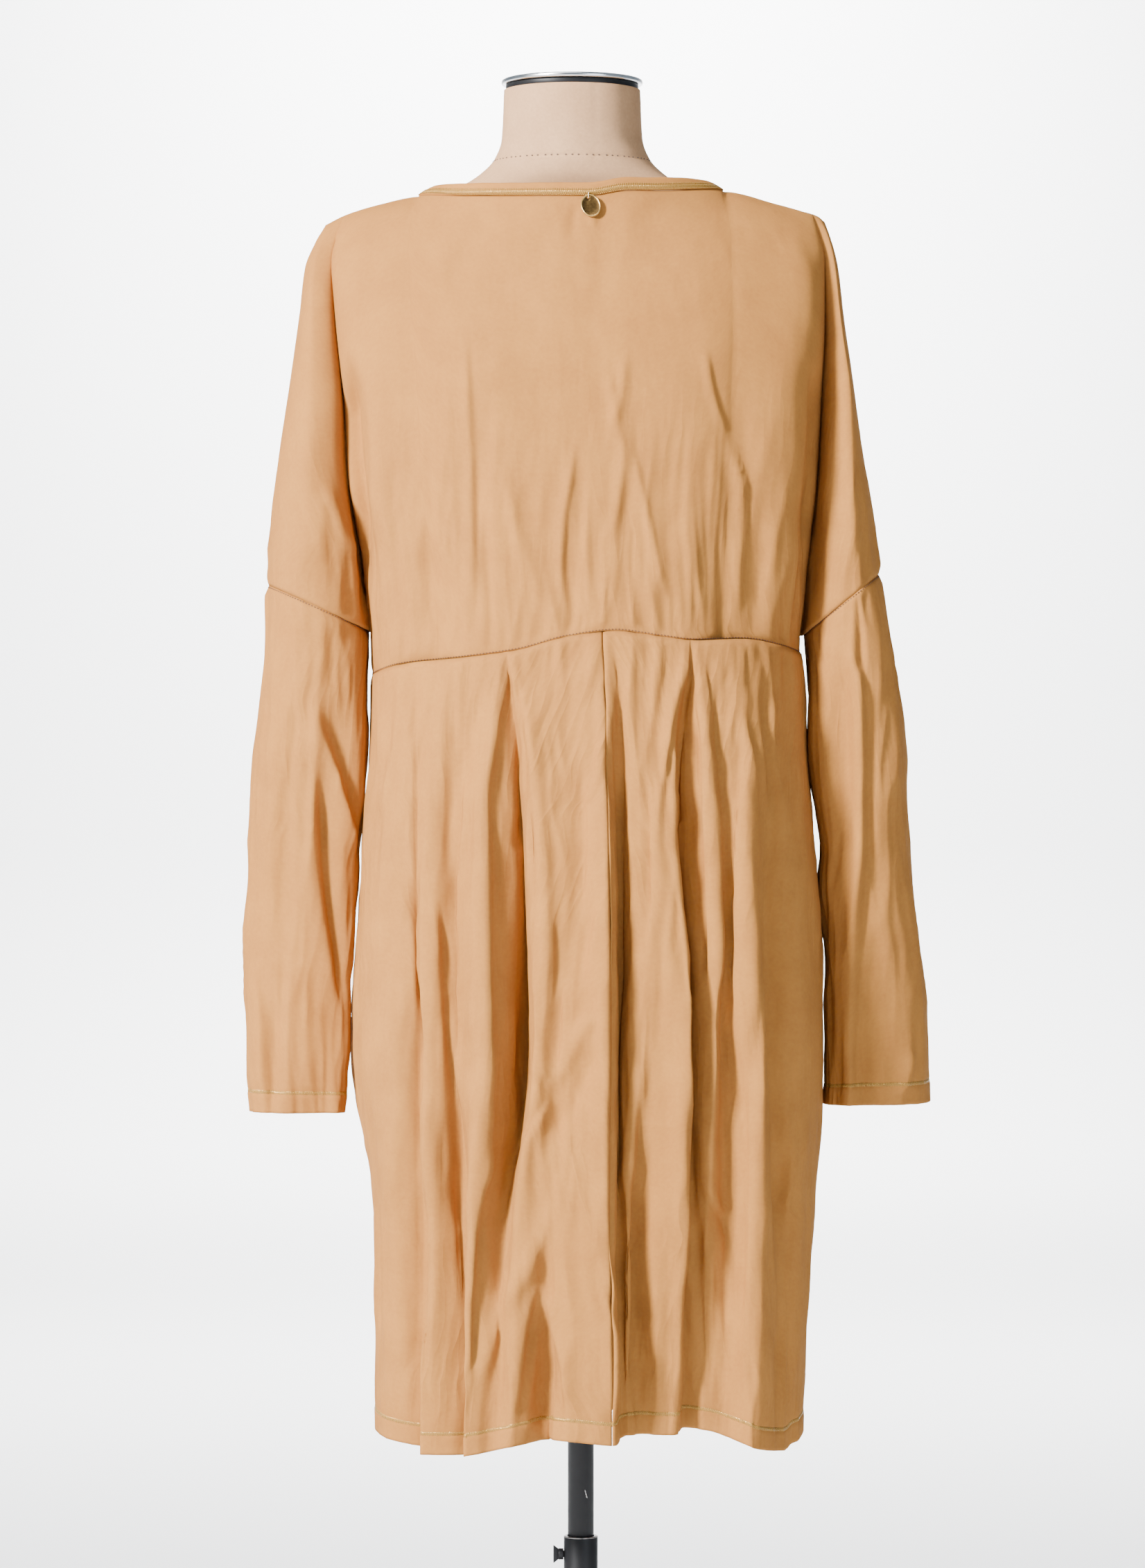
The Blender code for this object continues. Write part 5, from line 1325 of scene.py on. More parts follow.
# Creases of the back skirt beyond its folds, in mm as on the bodice.
SKIRT_CREASES = (
    # name, out, reach left, reach right, (across, height) ...
    ("side_left_v", 2.9, 9, 6, (-162, 1044), (-158, 1021), (-156, 982), (-158, 932)),
    ("left_inner_ridge", 3.4, 14, 8, (-111, 1052), (-113, 988), (-118, 904), (-123, 820), (-127, 741)),
    ("left_inner_trough", -1.6, 9, 9, (-96, 1044), (-95, 976), (-99, 898), (-105, 820)),
    ("left_ridge_step", 3.1, 12, 5, (-131, 1044), (-133, 988), (-136, 909), (-137, 820), (-133, 747)),
    ("pleat_left_edge", 2.9, 9, 3, (-62, 1072), (-67, 1031), (-69, 993), (-74, 957), (-74, 876),
     (-72, 775), (-71, 708), (-74, 652)),
    ("pleat_left_far_edge", 2.9, 3, 9, (-58, 1072), (-51, 1046), (-42, 1007), (-36, 964),
     (-31, 914), (-31, 840), (-30, 796), (-35, 751)),
    ("pleat_left_inner", 3.1, 9, 8, (-59, 1052), (-57, 1004), (-54, 960), (-52, 915), (-52, 864),
     (-50, 808)),
    ("pleat_left_v", -2.3, 4, 5, (-54, 915), (-50, 932), (-48, 948)),
    ("valley_diagonal", 2.9, 6, 7, (-105, 800), (-99, 764), (-91, 730), (-83, 694)),
    ("mid_panel_shade", 2.3, 14, 9, (-21, 1044), (-18, 976), (-15, 904), (-12, 831)),
    ("mid_panel_trough", -2.1, 9, 12, (-1, 999), (2, 932), (2, 859), (0, 797)),
    ("low_diagonal", 4.4, 8, 6, (13, 789), (2, 769), (-10, 747), (-23, 722)),
    ("low_diagonal_trough", -3.4, 8, 9, (19, 764), (7, 738), (-6, 713), (-15, 685)),
    ("low_v", -3.1, 6, 6, (-38, 738), (-28, 724), (-20, 713), (-18, 680)),
    ("centre_edge", 2.9, 12, 2.5, (19, 1083), (21, 1021), (22, 976), (24, 916), (25, 876),
     (24, 769), (23, 661), (24, 596)),
    ("centre_step_in", -3.9, 3, 10, (27, 1066), (30, 1010), (32, 943), (34, 876), (32, 808), (31, 730)),
    ("right_soft_ridge", 2.3, 10, 10, (49, 1066), (47, 999), (52, 920), (57, 831), (60, 752)),
    ("right_slant_a", 2.6, 7, 8, (41, 764), (48, 724), (45, 685), (35, 652), (25, 624)),
    ("right_slant_b", 2.3, 7, 8, (73, 982), (67, 932), (68, 864), (75, 797)),
    ("right_slant_trough", -3.1, 8, 8, (82, 960), (77, 898), (80, 831), (86, 764)),
    ("pleat_right_edge", 2.6, 8, 3, (89, 1074), (85, 1055), (80, 1038), (76, 1016), (73, 988)),
    ("pleat_right_far_edge", 3.4, 3, 9, (91, 1074), (96, 1043), (99, 1006), (102, 969),
     (105, 931), (108, 876), (109, 822), (115, 769), (120, 730)),
    ("pleat_right_inner", 3.4, 8, 8, (88, 1044), (84, 1001), (82, 947), (85, 904), (91, 853), (95, 803)),
    ("pleat_right_dark", -3.1, 4, 4, (92, 1038), (95, 1010), (98, 976), (102, 915), (107, 859)),
    ("side_right_ridge", 3.1, 14, 9, (138, 1055), (138, 976), (137, 898), (138, 820), (139, 730)),
    ("side_right_step", -2.9, 7, 10, (150, 976), (151, 898), (151, 805), (156, 708), (158, 625)),
    ("side_right_diagonal", 2.9, 6, 8, (161, 1046), (152, 1021), (144, 993), (141, 960)),
    ("side_right_soft", 2.3, 10, 12, (172, 1032), (175, 954), (177, 876), (179, 797), (180, 730)),
    ("low_right_diagonal", -4.2, 7, 8, (116, 820), (120, 775), (124, 730), (130, 685)),
    ("hem_left_ridge", 2.9, 9, 7, (-156, 730), (-152, 652), (-149, 579), (-151, 500)),
    ("hem_left_valley", -3.1, 7, 7, (-125, 652), (-126, 607), (-129, 540), (-130, 489)),
    ("hem_left_ridge_b", 2.9, 7, 7, (-122, 696), (-118, 624), (-118, 568), (-122, 495)),
    ("hem_left_valley_b", -3.9, 6, 7, (-103, 674), (-97, 618), (-94, 562), (-93, 495), (-92, 450)),
    ("hem_sharp_edge", 3.6, 8, 3, (-72, 708), (-74, 663), (-83, 629), (-88, 576), (-90, 525), (-90, 461)),
    ("hem_diagonal", 4.7, 9, 7, (-22, 643), (-29, 612), (-37, 589), (-52, 562), (-66, 537),
     (-78, 500), (-84, 467)),
    ("hem_triangle_left", 2.9, 8, 3, (-35, 568), (-40, 551), (-44, 523), (-49, 488), (-54, 452)),
    ("hem_triangle_right", 2.9, 3, 8, (-34, 568), (-29, 548), (-17, 499), (-13, 457)),
    ("hem_triangle", -5.2, 11, 11, (-34, 551), (-32, 517), (-32, 478), (-32, 444)),
    ("hem_small_v", -2.9, 5, 6, (7, 596), (10, 579), (18, 551), (26, 523)),
    ("hem_centre_edge", 2.6, 9, 3, (25, 596), (27, 550), (30, 500), (31, 444)),
    ("hem_centre_step", -3.9, 3, 8, (29, 618), (32, 562), (36, 500), (37, 450)),
    ("hem_right_valley", -3.9, 8, 8, (43, 657), (42, 584), (46, 517), (54, 470)),
    ("hem_right_ridge", 2.6, 10, 9, (62, 657), (63, 579), (64, 495)),
    ("hem_right_pleat_edge", 3.1, 9, 3, (85, 730), (85, 685), (86, 635), (87, 579)),
    ("hem_right_dark", -4.7, 8, 10, (91, 629), (95, 573), (100, 523), (102, 467)),
    ("hem_right_lit", 2.6, 6, 7, (101, 704), (105, 657), (113, 607), (118, 556)),
    ("hem_right_diagonal", -3.9, 6, 7, (111, 657), (120, 612), (130, 568), (131, 540)),
    ("hem_side_ridge", 2.9, 8, 8, (134, 685), (139, 627), (137, 576), (132, 537), (129, 473)),
    ("hem_side_crease", -2.6, 6, 8, (157, 679), (161, 602), (162, 525), (161, 472)),
)
SKIRT_EDGES = (
    # name, step, reach left, reach right, (across, height) ...
    ("left_pleat", 3.0, 10, 9, (-60, 1077), (-65, 1046), (-69, 1001), (-74, 947), (-74, 876),
     (-72, 775), (-71, 708), (-74, 652)),
    ("left_pleat_far", -3.0, 8, 11, (-60, 1077), (-49, 1046), (-42, 1005), (-36, 964), (-32, 919),
     (-31, 876), (-30, 796), (-35, 751)),
    ("right_pleat", 2.8, 10, 8, (90, 1077), (83, 1055), (78, 1037), (73, 1001), (66, 947), (66, 904)),
    ("right_pleat_far", -3.0, 7, 10, (90, 1077), (94, 1046), (99, 1001), (102, 947), (106, 877),
     (111, 816), (116, 764), (121, 724)),
    ("centre", 2.4, 12, 12, (21, 1044), (22, 976), (24, 916), (24, 876), (24, 769), (23, 661),
     (25, 596), (29, 540), (31, 484), (32, 433)),
    ("right_panel", -2.8, 9, 14, (132, 1055), (130, 976), (129, 887), (129, 808), (130, 730)),
    ("left_band", 1.8, 12, 9, (-137, 1077), (-134, 1021), (-132, 932), (-132, 820), (-130, 747)),
    ("left_wedge", 2.2, 9, 7, (-115, 881), (-113, 820), (-110, 764), (-108, 708)),
    ("hem_sharp", 2.6, 9, 8, (-71, 708), (-72, 663), (-81, 629), (-87, 576), (-88, 525), (-88, 461)),
    ("hem_triangle_left", 2.0, 8, 8, (-34, 568), (-39, 545), (-43, 523), (-47, 488), (-53, 452)),
    ("hem_triangle_right", -2.2, 8, 9, (-34, 568), (-27, 545), (-17, 499), (-12, 457)),
    ("low_left_ridge", -2.0, 8, 12, (-127, 769), (-127, 696), (-125, 618), (-124, 540), (-124, 456)),
    ("low_left_band", 2.0, 12, 8, (-108, 775), (-104, 672), (-96, 570), (-92, 461)),
    ("dark_diagonal", -2.4, 12, 10, (-23, 722), (-37, 696), (-49, 672), (-59, 635), (-68, 595)),
    ("low_right_ridge", -2.6, 10, 12, (139, 769), (137, 652), (133, 553), (129, 461)),
    ("v_right", -2.2, 9, 8, (88, 660), (102, 639), (115, 619), (124, 584), (133, 545)),
    ("v_left", 1.8, 8, 6, (86, 657), (82, 618), (78, 578)),
    ("right_of_centre", 2.0, 9, 9, (6, 595), (17, 568), (25, 545), (29, 500), (31, 456)),
    ("hem_right_pleat", 2.4, 9, 9, (87, 730), (87, 685), (88, 635), (90, 579), (92, 540)),
)
# How far the cloth of the sides swells out towards the sleeves.
SWELL_LEFT = (
    # height, out
    (0.62, 0.0), (0.70, 0.002), (0.80, 0.0042), (0.95, 0.0040), (0.99, 0.0014), (1.03, 0.0014),
    (1.08, 0.0),
)
SWELL_RIGHT = (
    # height, out
    (0.62, 0.0), (0.93, 0.0), (0.99, -0.0012), (1.03, 0.0008), (1.06, 0.0022), (1.12, 0.0),
)
SWELL_FROM, SWELL_SPAN = 0.35, 0.5         # of the cloth's turning to the side

# Edges and creases of the front skirt, across and up as they are. In mm.
FRONT_EDGES = (
    # name, step, reach left, reach right, (across, height) ...
    ("pleat_left_edge", 2.4, 9, 8, (-58, 1074), (-66, 1010), (-70, 900), (-66, 760), (-70, 640)),
    ("pleat_left_far", -2.6, 8, 10, (-58, 1074), (-48, 1000), (-42, 900), (-38, 760)),
    ("pleat_right_edge", 2.6, 10, 8, (66, 1074), (56, 1000), (52, 900), (56, 780)),
    ("pleat_right_far", -2.4, 7, 9, (66, 1074), (74, 1010), (80, 880), (78, 740), (84, 600)),
    ("low_middle", 2.0, 10, 8, (10, 760), (14, 660), (8, 560), (12, 480)),
    ("side_left", 1.8, 9, 9, (-124, 900), (-128, 760), (-122, 620), (-126, 500)),
    ("side_right", -1.8, 9, 9, (120, 960), (124, 820), (118, 680), (124, 540)),
)
FRONT_CREASES = (
    # name, out, reach left, reach right, (across, height) ...
    ("left_soft", 2.0, 9, 7, (-112, 1040), (-116, 940), (-112, 820), (-106, 700)),
    ("left_trough", -2.2, 8, 9, (-92, 1030), (-96, 900), (-98, 780)),
    ("pleat_left", 2.0, 9, 3, (-66, 1068), (-66, 960), (-62, 820), (-60, 640), (-58, 500)),
    ("middle_left", 1.8, 12, 12, (-22, 1030), (-24, 880), (-20, 720), (-26, 560)),
    ("middle_right", -2.0, 10, 10, (14, 1000), (10, 860), (14, 700), (6, 520)),
    ("slant", 2.6, 8, 7, (40, 780), (26, 730), (8, 680), (-6, 640)),
    ("pleat_right", 2.0, 3, 9, (74, 1068), (80, 960), (78, 820), (80, 640), (82, 500)),
    ("right_trough", -2.2, 9, 8, (104, 1010), (108, 860), (108, 680), (106, 540)),
    ("right_soft", 2.2, 8, 8, (130, 1040), (134, 900), (138, 740), (132, 600)),
    ("hem_left", 2.4, 8, 7, (-118, 640), (-110, 580), (-104, 520), (-106, 470)),
    ("hem_right", -2.6, 7, 8, (112, 620), (106, 560), (108, 500), (110, 465)),
)
SKIRT_ROWS = 168
CREASE_START = 0.010       # length over which the creases begin below the waist seam
CENTRE_DIP = 0.0010, 0.0016                # grooves of the centre back seam and
STITCH_DIP = 0.0007, 0.0016                # of the hem's stitches
HEM_TURN = 0.0165          # height of the hem's coverstitch above its edge
HEM_STEP = 0.0022          # between the rows of cloth next to these stitches
HEM_LIFT, HEM_PUCKER = 0.0006, 0.0009
HEM_SPAN = 0.62            # length of the skirt, to place rows near the hem

skirt_size = columns(SKIRT)


def skirt(side, folds):
    """Outer surface of the back or front skirt, by the number of the fold line and share down."""
    lines = [
        (
            curve(FOLD_LEVELS, [value / 1000 for value in row[1:6]]),
            curve(FOLD_LEVELS, [0.0] + [value / 1000 for value in row[6:10]]),
        )
        for row in folds
    ]
    numbers = list(range(len(folds)))
    hem_height = curve(numbers, [row[10] / 1000 for row in folds])
    rows = {}

    def level(down):
        """The angle and standing out of every fold line on one level."""
        if down not in rows:
            left, right = skirt_size[0](down), skirt_size[1](down)
            middle, half = (left + right) / 2, (right - left) / 2
            angles = [
                math.acos(min(1.0, max(-1.0, -(place(down) - middle) / half)))
                for place, _ in lines
            ]
            angles[0], angles[-1] = 0.0, math.pi
            outs = [out(down) for _, out in lines]
            depth = skirt_size[2 if side == BACK else 3](down)
            rows[down] = middle, half, depth, curve(numbers, angles), curve(numbers, outs)
        return rows[down]

    def place_on(number, down):
        middle, half, depth, angle_of, out_of = level(down)
        angle, out = angle_of(number), out_of(number)
        share = -math.cos(angle)
        x = middle + half * share + out * share
        y = side * (depth * round_off(share, BODY_SQUARENESS) + out * math.sin(angle))
        return x, y

    def surface(number, down):
        number, down = min(max(number, 0.0), numbers[-1]), min(max(down, 0.0), 1.0)
        x, y = place_on(number, down)
        waist = waist_at(side, place_on(number, 0.0)[0])
        return Vector((x, y, blend(waist, hem_height(number), down)))

    return surface


def hem_rows(count, turn_up, span):
    """Shares down a tube or panel, with rows close together at the turned hem's stitches."""
    line = 1 - turn_up / span
    step = HEM_STEP / span
    above = list(np.linspace(0, 1, count) ** 0.94 * (line - 3 * step))
    return above + [line - step, line, line + step] + list(np.linspace(line + 2.5 * step, 1, 6))


def turned_hem(places, n, line_row):
    """The hem's double layer stands a little proud below its stitches, and puckers."""
    from_line = places[..., 2] - places[line_row:line_row + 1, :, 2]
    lift = HEM_LIFT * ease(-from_line / 0.002) - dip(from_line, *STITCH_DIP)
    near = ease(1 - from_line / 0.02) * HEM_PUCKER
    pucker = slack(places * np.array([1.0, 1.0, 0.15]), 0.008, 1.0)
    return places + n * (lift + near * pucker)[..., None]


def skirt_places(side, folds, steps, first, last):
    """Grid of a panel from its first to its last fold line, with steps between two lines."""
    surface = skirt(side, folds)
    stations = [s for s in shares(*[steps] * (len(folds) - 1)) if first <= s <= last]
    rows = hem_rows(SKIRT_ROWS, HEM_TURN, HEM_SPAN)
    places = np.array([[surface(number, down)[:] for number in stations] for down in rows])
    for j, number in ((0, first), (-1, last)):
        if number in (0, len(folds) - 1):
            places[:, j, 1] = side * SEAM / 2
        else:
            places[:, j, 0] += SEAM / 2 if j == 0 else -SEAM / 2
    return places


hem_runs = {}
BACK_END, FRONT_END = len(BACK_FOLDS) - 1, len(FRONT_FOLDS) - 1
back_tables = BACK, BACK_FOLDS, 11, seen, SKIRT_CREASES, SKIRT_EDGES
front_tables = FRONT, FRONT_FOLDS, 10, straight, FRONT_CREASES, FRONT_EDGES
for name, node, first, last, flat, (side, folds, steps, look, creases, edges) in (
    ("back_skirt_left_cloth", "back_skirt_left", 0, CENTRE_BACK, (0.36, 0.64), back_tables),
    (
        "back_skirt_right_cloth", "back_skirt_right", CENTRE_BACK, BACK_END, (0.345, 0.64),
        back_tables,
    ),
    ("front_skirt_cloth", "front_skirt", 0, FRONT_END, (0.59, 0.64), front_tables),
):
    facing = -side
    places = skirt_places(side, folds, steps, first, last)
    to_waist = places[0:1, :, 2] - places[..., 2]
    hold = ease(to_waist / CREASE_START)
    side_columns = [0, -1] if side == FRONT else ([0] if first == 0 else [-1])
    hold[:, side_columns] = 0.0
    places = drape(places, facing, look, creases, edges, hold)
    n = outward(places, facing)
    for sign, swell in ((-1, SWELL_LEFT), (1, SWELL_RIGHT)):
        grown = columns(swell)[0]
        reach = np.array([grown(z) for z in places[:, -1 if sign > 0 else 0, 2]])[:, None]
        turned = ease((sign * n[..., 0] - SWELL_FROM) / SWELL_SPAN)
        places[..., 0] += sign * reach * turned
    n = outward(places, facing)
    line_row = SKIRT_ROWS + 1
    places = turned_hem(places, n, line_row)
    groove = dip(to_waist, *SEAM_DIP)
    if side == BACK:
        seam_column = -1 if first == 0 else 0
        aside = np.abs(places[..., 0] - places[:, seam_column:seam_column + 1 or None, 0])
        groove = groove + dip(aside, *CENTRE_DIP)
    places -= n * groove[..., None]
    n = outward(places, facing)
    hem_runs[node] = places[line_row], n[line_row]
    cloth = clothe(name, places, facing, node)

hem_points, hem_normals = [], []
for node, way in (("back_skirt_left", 1), ("back_skirt_right", 1), ("front_skirt", -1)):
    points, normals = (run[::way] for run in hem_runs[node])
    hem_points += lifted(points, normals, COVERSTITCH_OUT)
    hem_normals += list(normals)
coverstitch("hem_coverstitch", hem_points, hem_normals)

# Topstitching in dark brown thread runs just over the waist seam.
TOPSTITCH_PITCH, TOPSTITCH_UP, TOPSTITCH_OUT = 0.0026, 0.0012, 0.0005
TOPSTITCH_SHARE = 0.62
BROWN_SIZE = 1.0, 0.00036, 0.00046
brown = principled("brown_thread", (0.105, 0.042, 0.018), 0.75)[0]


def topstitch(name, points, normals, closed=False):
    """One row of dark thread, whose stitches leave gaps between them."""
    stops = even_steps(points, normals, TOPSTITCH_PITCH, closed)
    runs = [between(a, b, n, TOPSTITCH_SHARE) for (a, n), (b, _) in zip(stops, stops[1:])]
    pin_dots(name, runs, BROWN_SIZE, brown, "dress_on_form")


for side, label in ((BACK, "back"), (FRONT, "front")):
    places, n, on_body = bodice_edges[side]
    normals = n[-2, on_body]
    points = lifted(places[-1, on_body], normals, TOPSTITCH_OUT, TOPSTITCH_UP)
    topstitch("waist_topstitch_" + label, points, normals)

# ================================================================ sleeves
# Wide straight sleeves set on the dropped armhole seam, each one piece folded round the arm,
# with the same turned and coverstitched hem at the cuff.

# Sleeves, from the dropped armhole seam (0) to the cuff (1). The crests are the places where
# the hanging sleeve stands farthest from the middle plane.
SLEEVE_LEFT = (
    # down, outer, outer y, inner, inner y, back crest, back depth, front crest, front depth
    (0.00, -0.2526, 0.000, -0.1705, 0.000, -0.2120, 0.054, -0.2120, 0.054),
    (0.13, -0.2550, 0.000, -0.1715, 0.000, -0.2110, 0.052, -0.2140, 0.053),
    (0.35, -0.2660, 0.002, -0.1765, 0.002, -0.2200, 0.046, -0.2240, 0.050),
    (0.51, -0.2690, 0.004, -0.1825, 0.002, -0.2210, 0.040, -0.2300, 0.047),
    (0.72, -0.2716, 0.004, -0.1870, 0.002, -0.2240, 0.036, -0.2340, 0.044),
    (0.89, -0.2705, 0.004, -0.1900, 0.002, -0.2300, 0.036, -0.2330, 0.042),
    (1.00, -0.2670, 0.004, -0.1935, 0.002, -0.2300, 0.037, -0.2320, 0.042),
)
SLEEVE_RIGHT = (
    # down, outer, outer y, inner, inner y, back crest, back depth, front crest, front depth
    (0.00, 0.2410, 0.000, 0.1795, 0.000, 0.2180, 0.056, 0.2180, 0.056),
    (0.13, 0.2503, 0.008, 0.1828, 0.000, 0.2245, 0.057, 0.2230, 0.056),
    (0.31, 0.2615, 0.014, 0.1866, 0.000, 0.2280, 0.056, 0.2300, 0.056),
    (0.53, 0.2665, 0.018, 0.1965, 0.000, 0.2280, 0.054, 0.2370, 0.056),
    (0.73, 0.2770, 0.022, 0.1990, 0.000, 0.2240, 0.052, 0.2430, 0.056),
    (0.88, 0.2818, 0.024, 0.2000, 0.000, 0.2190, 0.050, 0.2470, 0.056),
    (1.00, 0.2828, 0.026, 0.2000, 0.000, 0.2140, 0.048, 0.2480, 0.056),
)
CUFF_LEFT, CUFF_RIGHT = 0.7060, 0.7130

# Creases of both sleeves as they show from the back, in mm as on the bodice.
SLEEVE_CREASES = (
    # name, out, reach left, reach right, (across, height) ...
    ("s_fold", 3.9, 9, 6, (-214, 1038), (-211, 1016), (-202, 990), (-194, 960), (-185, 926), (-181, 904)),
    ("s_fold_trough", -3.6, 8, 9, (-200, 1038), (-194, 1004), (-186, 971), (-179, 937)),
    ("dark_fold", -3.9, 7, 8, (-210, 982), (-207, 933), (-204, 889), (-198, 845), (-189, 780)),
    ("dark_fold_lip", 3.1, 10, 5, (-218, 976), (-216, 932), (-213, 881), (-207, 831), (-199, 775)),
    ("left_outer_ridge", 2.6, 8, 10, (-241, 1083), (-245, 1021), (-250, 943), (-253, 864)),
    ("left_outer_trough", -2.6, 10, 9, (-230, 1066), (-233, 999), (-237, 920), (-241, 842), (-243, 775)),
    ("cuff_left_crease", 3.4, 10, 3, (-262, 831), (-259, 786), (-256, 741), (-255, 707)),
    ("cuff_left_trough", -3.1, 4, 9, (-251, 797), (-249, 752), (-248, 708)),
    ("cuff_left_soft", 2.3, 9, 9, (-220, 808), (-217, 764), (-217, 708)),
    ("under_seam_left", 2.3, 8, 7, (-240, 1114), (-228, 1097), (-225, 1066), (-227, 1038)),
    ("under_seam_left_b", -2.1, 8, 8, (-200, 1100), (-198, 1072), (-202, 1044)),
    ("near_fold_right", 3.4, 10, 3, (220, 1141), (222, 1111), (223, 1070), (227, 1055),
     (229, 982), (229, 923), (225, 864), (222, 805), (220, 746), (218, 708)),
    ("near_fold_drop", -3.0, 6, 9, (231, 1122), (234, 1070), (239, 982), (239, 923), (237, 864),
     (235, 805), (234, 746), (232, 708), (231, 629)),
    ("right_inner_ridge", 2.6, 9, 8, (196, 1072), (200, 999), (206, 932), (209, 864), (211, 797)),
    ("right_inner_trough", -2.9, 8, 8, (207, 1083), (212, 1021), (217, 954), (220, 887)),
    ("far_layer_ridge", 6.5, 20, 12, (245, 1156), (250, 1055), (256, 976), (262, 887), (268, 797),
     (272, 708), (273, 629)),
    ("far_layer_trough", -2.9, 8, 9, (241, 1100), (245, 1032), (251, 943), (254, 853), (256, 775)),
    ("far_pleat", 2.6, 5, 3, (263, 758), (262, 734), (258, 717)),
    ("right_low_diagonal", 2.6, 7, 8, (200, 859), (207, 820), (209, 780), (206, 730)),
    ("under_seam_right", 2.1, 7, 7, (200, 1097), (205, 1072), (206, 1044)),
)
SLEEVE_EDGES = (
    # name, step, reach left, reach right, (across, height) ...
    ("s_fold", 2.0, 8, 8, (-212, 1038), (-208, 1016), (-199, 990), (-192, 960), (-183, 926), (-179, 904)),
    ("dark_fold", 1.8, 8, 8, (-214, 982), (-211, 933), (-208, 889), (-202, 845), (-194, 780)),
    ("cuff_left", 1.6, 8, 8, (-260, 831), (-257, 786), (-254, 741), (-253, 696), (-253, 640)),
    ("near_layer", 3.6, 9, 10, (220, 1178), (222, 1111), (223, 1070), (227, 1055), (229, 982),
     (229, 923), (225, 864), (222, 805), (220, 746), (219, 708), (218, 629)),
    ("far_pleat", 1.6, 8, 6, (264, 775), (264, 747), (260, 724), (259, 696)),
)
# How far each sleeve's inner edge comes towards the body, and how far it turns to the back.
INNER_LEFT = (
    # height, in
    (0.70, 0.0030), (0.74, 0.0030), (0.76, 0.0041), (0.80, 0.0037), (0.82, 0.0028),
    (0.84, 0.0060), (0.86, 0.0070), (0.90, 0.0060), (0.92, 0.0045), (0.94, 0.0025),
    (0.98, 0.0030), (1.00, 0.0024), (1.04, 0.0018), (1.06, 0.0),
)
INNER_RIGHT = (
    # height, in
    (0.70, 0.0046), (0.76, 0.0037), (0.80, 0.0038), (0.84, 0.0014), (0.86, 0.0019),
    (0.88, 0.0038), (0.90, 0.0064), (0.92, 0.0055), (0.94, 0.0018), (0.96, 0.0004),
    (0.98, 0.0004), (1.00, 0.0014), (1.04, 0.0022), (1.08, 0.0022),
)
INNER_TURN = 0.020         # most that the inner edge turns to the back
INNER_REACH, INNER_START = 0.8, 0.08       # in quarters of the sleeve; length below its seam
SLEEVE_ROWS = 136
SLEEVE_COLUMNS = 36
CUFF_SPAN = 0.41           # length of a sleeve, to place rows near the cuff


def sleeve(table, seam, cuff):
    """Outer surface of a sleeve: 0 outer edge, 1 back crest, 2 inner edge, 3 front crest."""
    read = columns(table)

    def plan(turn, down):
        outer, outer_y, inner, inner_y, back, back_depth, front, front_depth = (
            column(down) for column in read
        )
        turn %= 4
        start, end, crest, depth = (
            ((outer, outer_y), None, back, -back_depth),
            (None, (inner, inner_y), back, -back_depth),
            ((inner, inner_y), None, front, front_depth),
            (None, (outer, outer_y), front, front_depth),
        )[int(turn)]
        angle = (turn - int(turn)) * math.pi / 2
        if end is None:
            reach, rise = math.cos(angle), math.sin(angle)
            end = start
        else:
            reach, rise = math.sin(angle), math.cos(angle)
        return crest + (end[0] - crest) * reach, end[1] + (depth - end[1]) * rise

    def surface(turn, down):
        down = min(max(down, 0.0), 1.0)
        x, y = plan(turn, down)
        return Vector((x, y, blend(seam(plan(turn, 0.0)[0]), cuff, down)))

    return surface


for name, node, table, seam, cuff, facing, swell in (
    ("sleeve_left_cloth", "sleeve_left", SLEEVE_LEFT, drop_left, CUFF_LEFT, 1, INNER_LEFT),
    ("sleeve_right_cloth", "sleeve_right", SLEEVE_RIGHT, drop_right, CUFF_RIGHT, -1, INNER_RIGHT),
):
    surface = sleeve(table, seam, cuff)
    rows = hem_rows(SLEEVE_ROWS, HEM_TURN, CUFF_SPAN)
    stations = shares(*[SLEEVE_COLUMNS] * 4)
    places = np.array([[surface(turn, down)[:] for turn in stations] for down in rows])
    to_seam = places[0:1, :, 2] - places[..., 2]
    hold = ease(to_seam / CREASE_START)
    is_back = places[..., 1] < 0
    look_back = drape(places, facing, seen, SLEEVE_CREASES, SLEEVE_EDGES, hold, closed=True)
    look_front = drape(
        places, facing, lambda p: straight(p, 3, 24), SLEEVE_CREASES, SLEEVE_EDGES, hold,
        closed=True,
    )
    places = np.where(is_back[..., None], look_back, look_front)
    n = outward(places, facing, closed=True)
    grown = columns(swell)[0]
    reach = np.array([grown(z) for z in places[:, 0, 2]])[:, None]
    near = ease(1.0 - abs(np.array(stations) - 2.0) / INNER_REACH)
    near = near * ease(to_seam / INNER_START)
    places[..., 0] += facing * reach * near
    places[..., 1] -= INNER_TURN * near
    n = outward(places, facing, closed=True)
    line_row = SLEEVE_ROWS + 1
    places = turned_hem(places, n, line_row)
    places -= n * dip(to_seam, *SEAM_DIP)[..., None]
    n = outward(places, facing, closed=True)
    cloth = clothe(name, places, facing, node, closed=True)
    normals = n[line_row, :-1]
    points = lifted(places[line_row, :-1], normals, COVERSTITCH_OUT)
    coverstitch(node + "_coverstitch", points, normals)
    normals = n[1, :-1]
    points = lifted(places[0, :-1], normals, TOPSTITCH_OUT, -TOPSTITCH_UP)
    topstitch(node + "_topstitch", points, normals, True)

# ================================================================ charm
# An oval disc of aged brass with a raised rim, worn bright, hangs on a loop of pale thread
# that is sewn to the neck band.

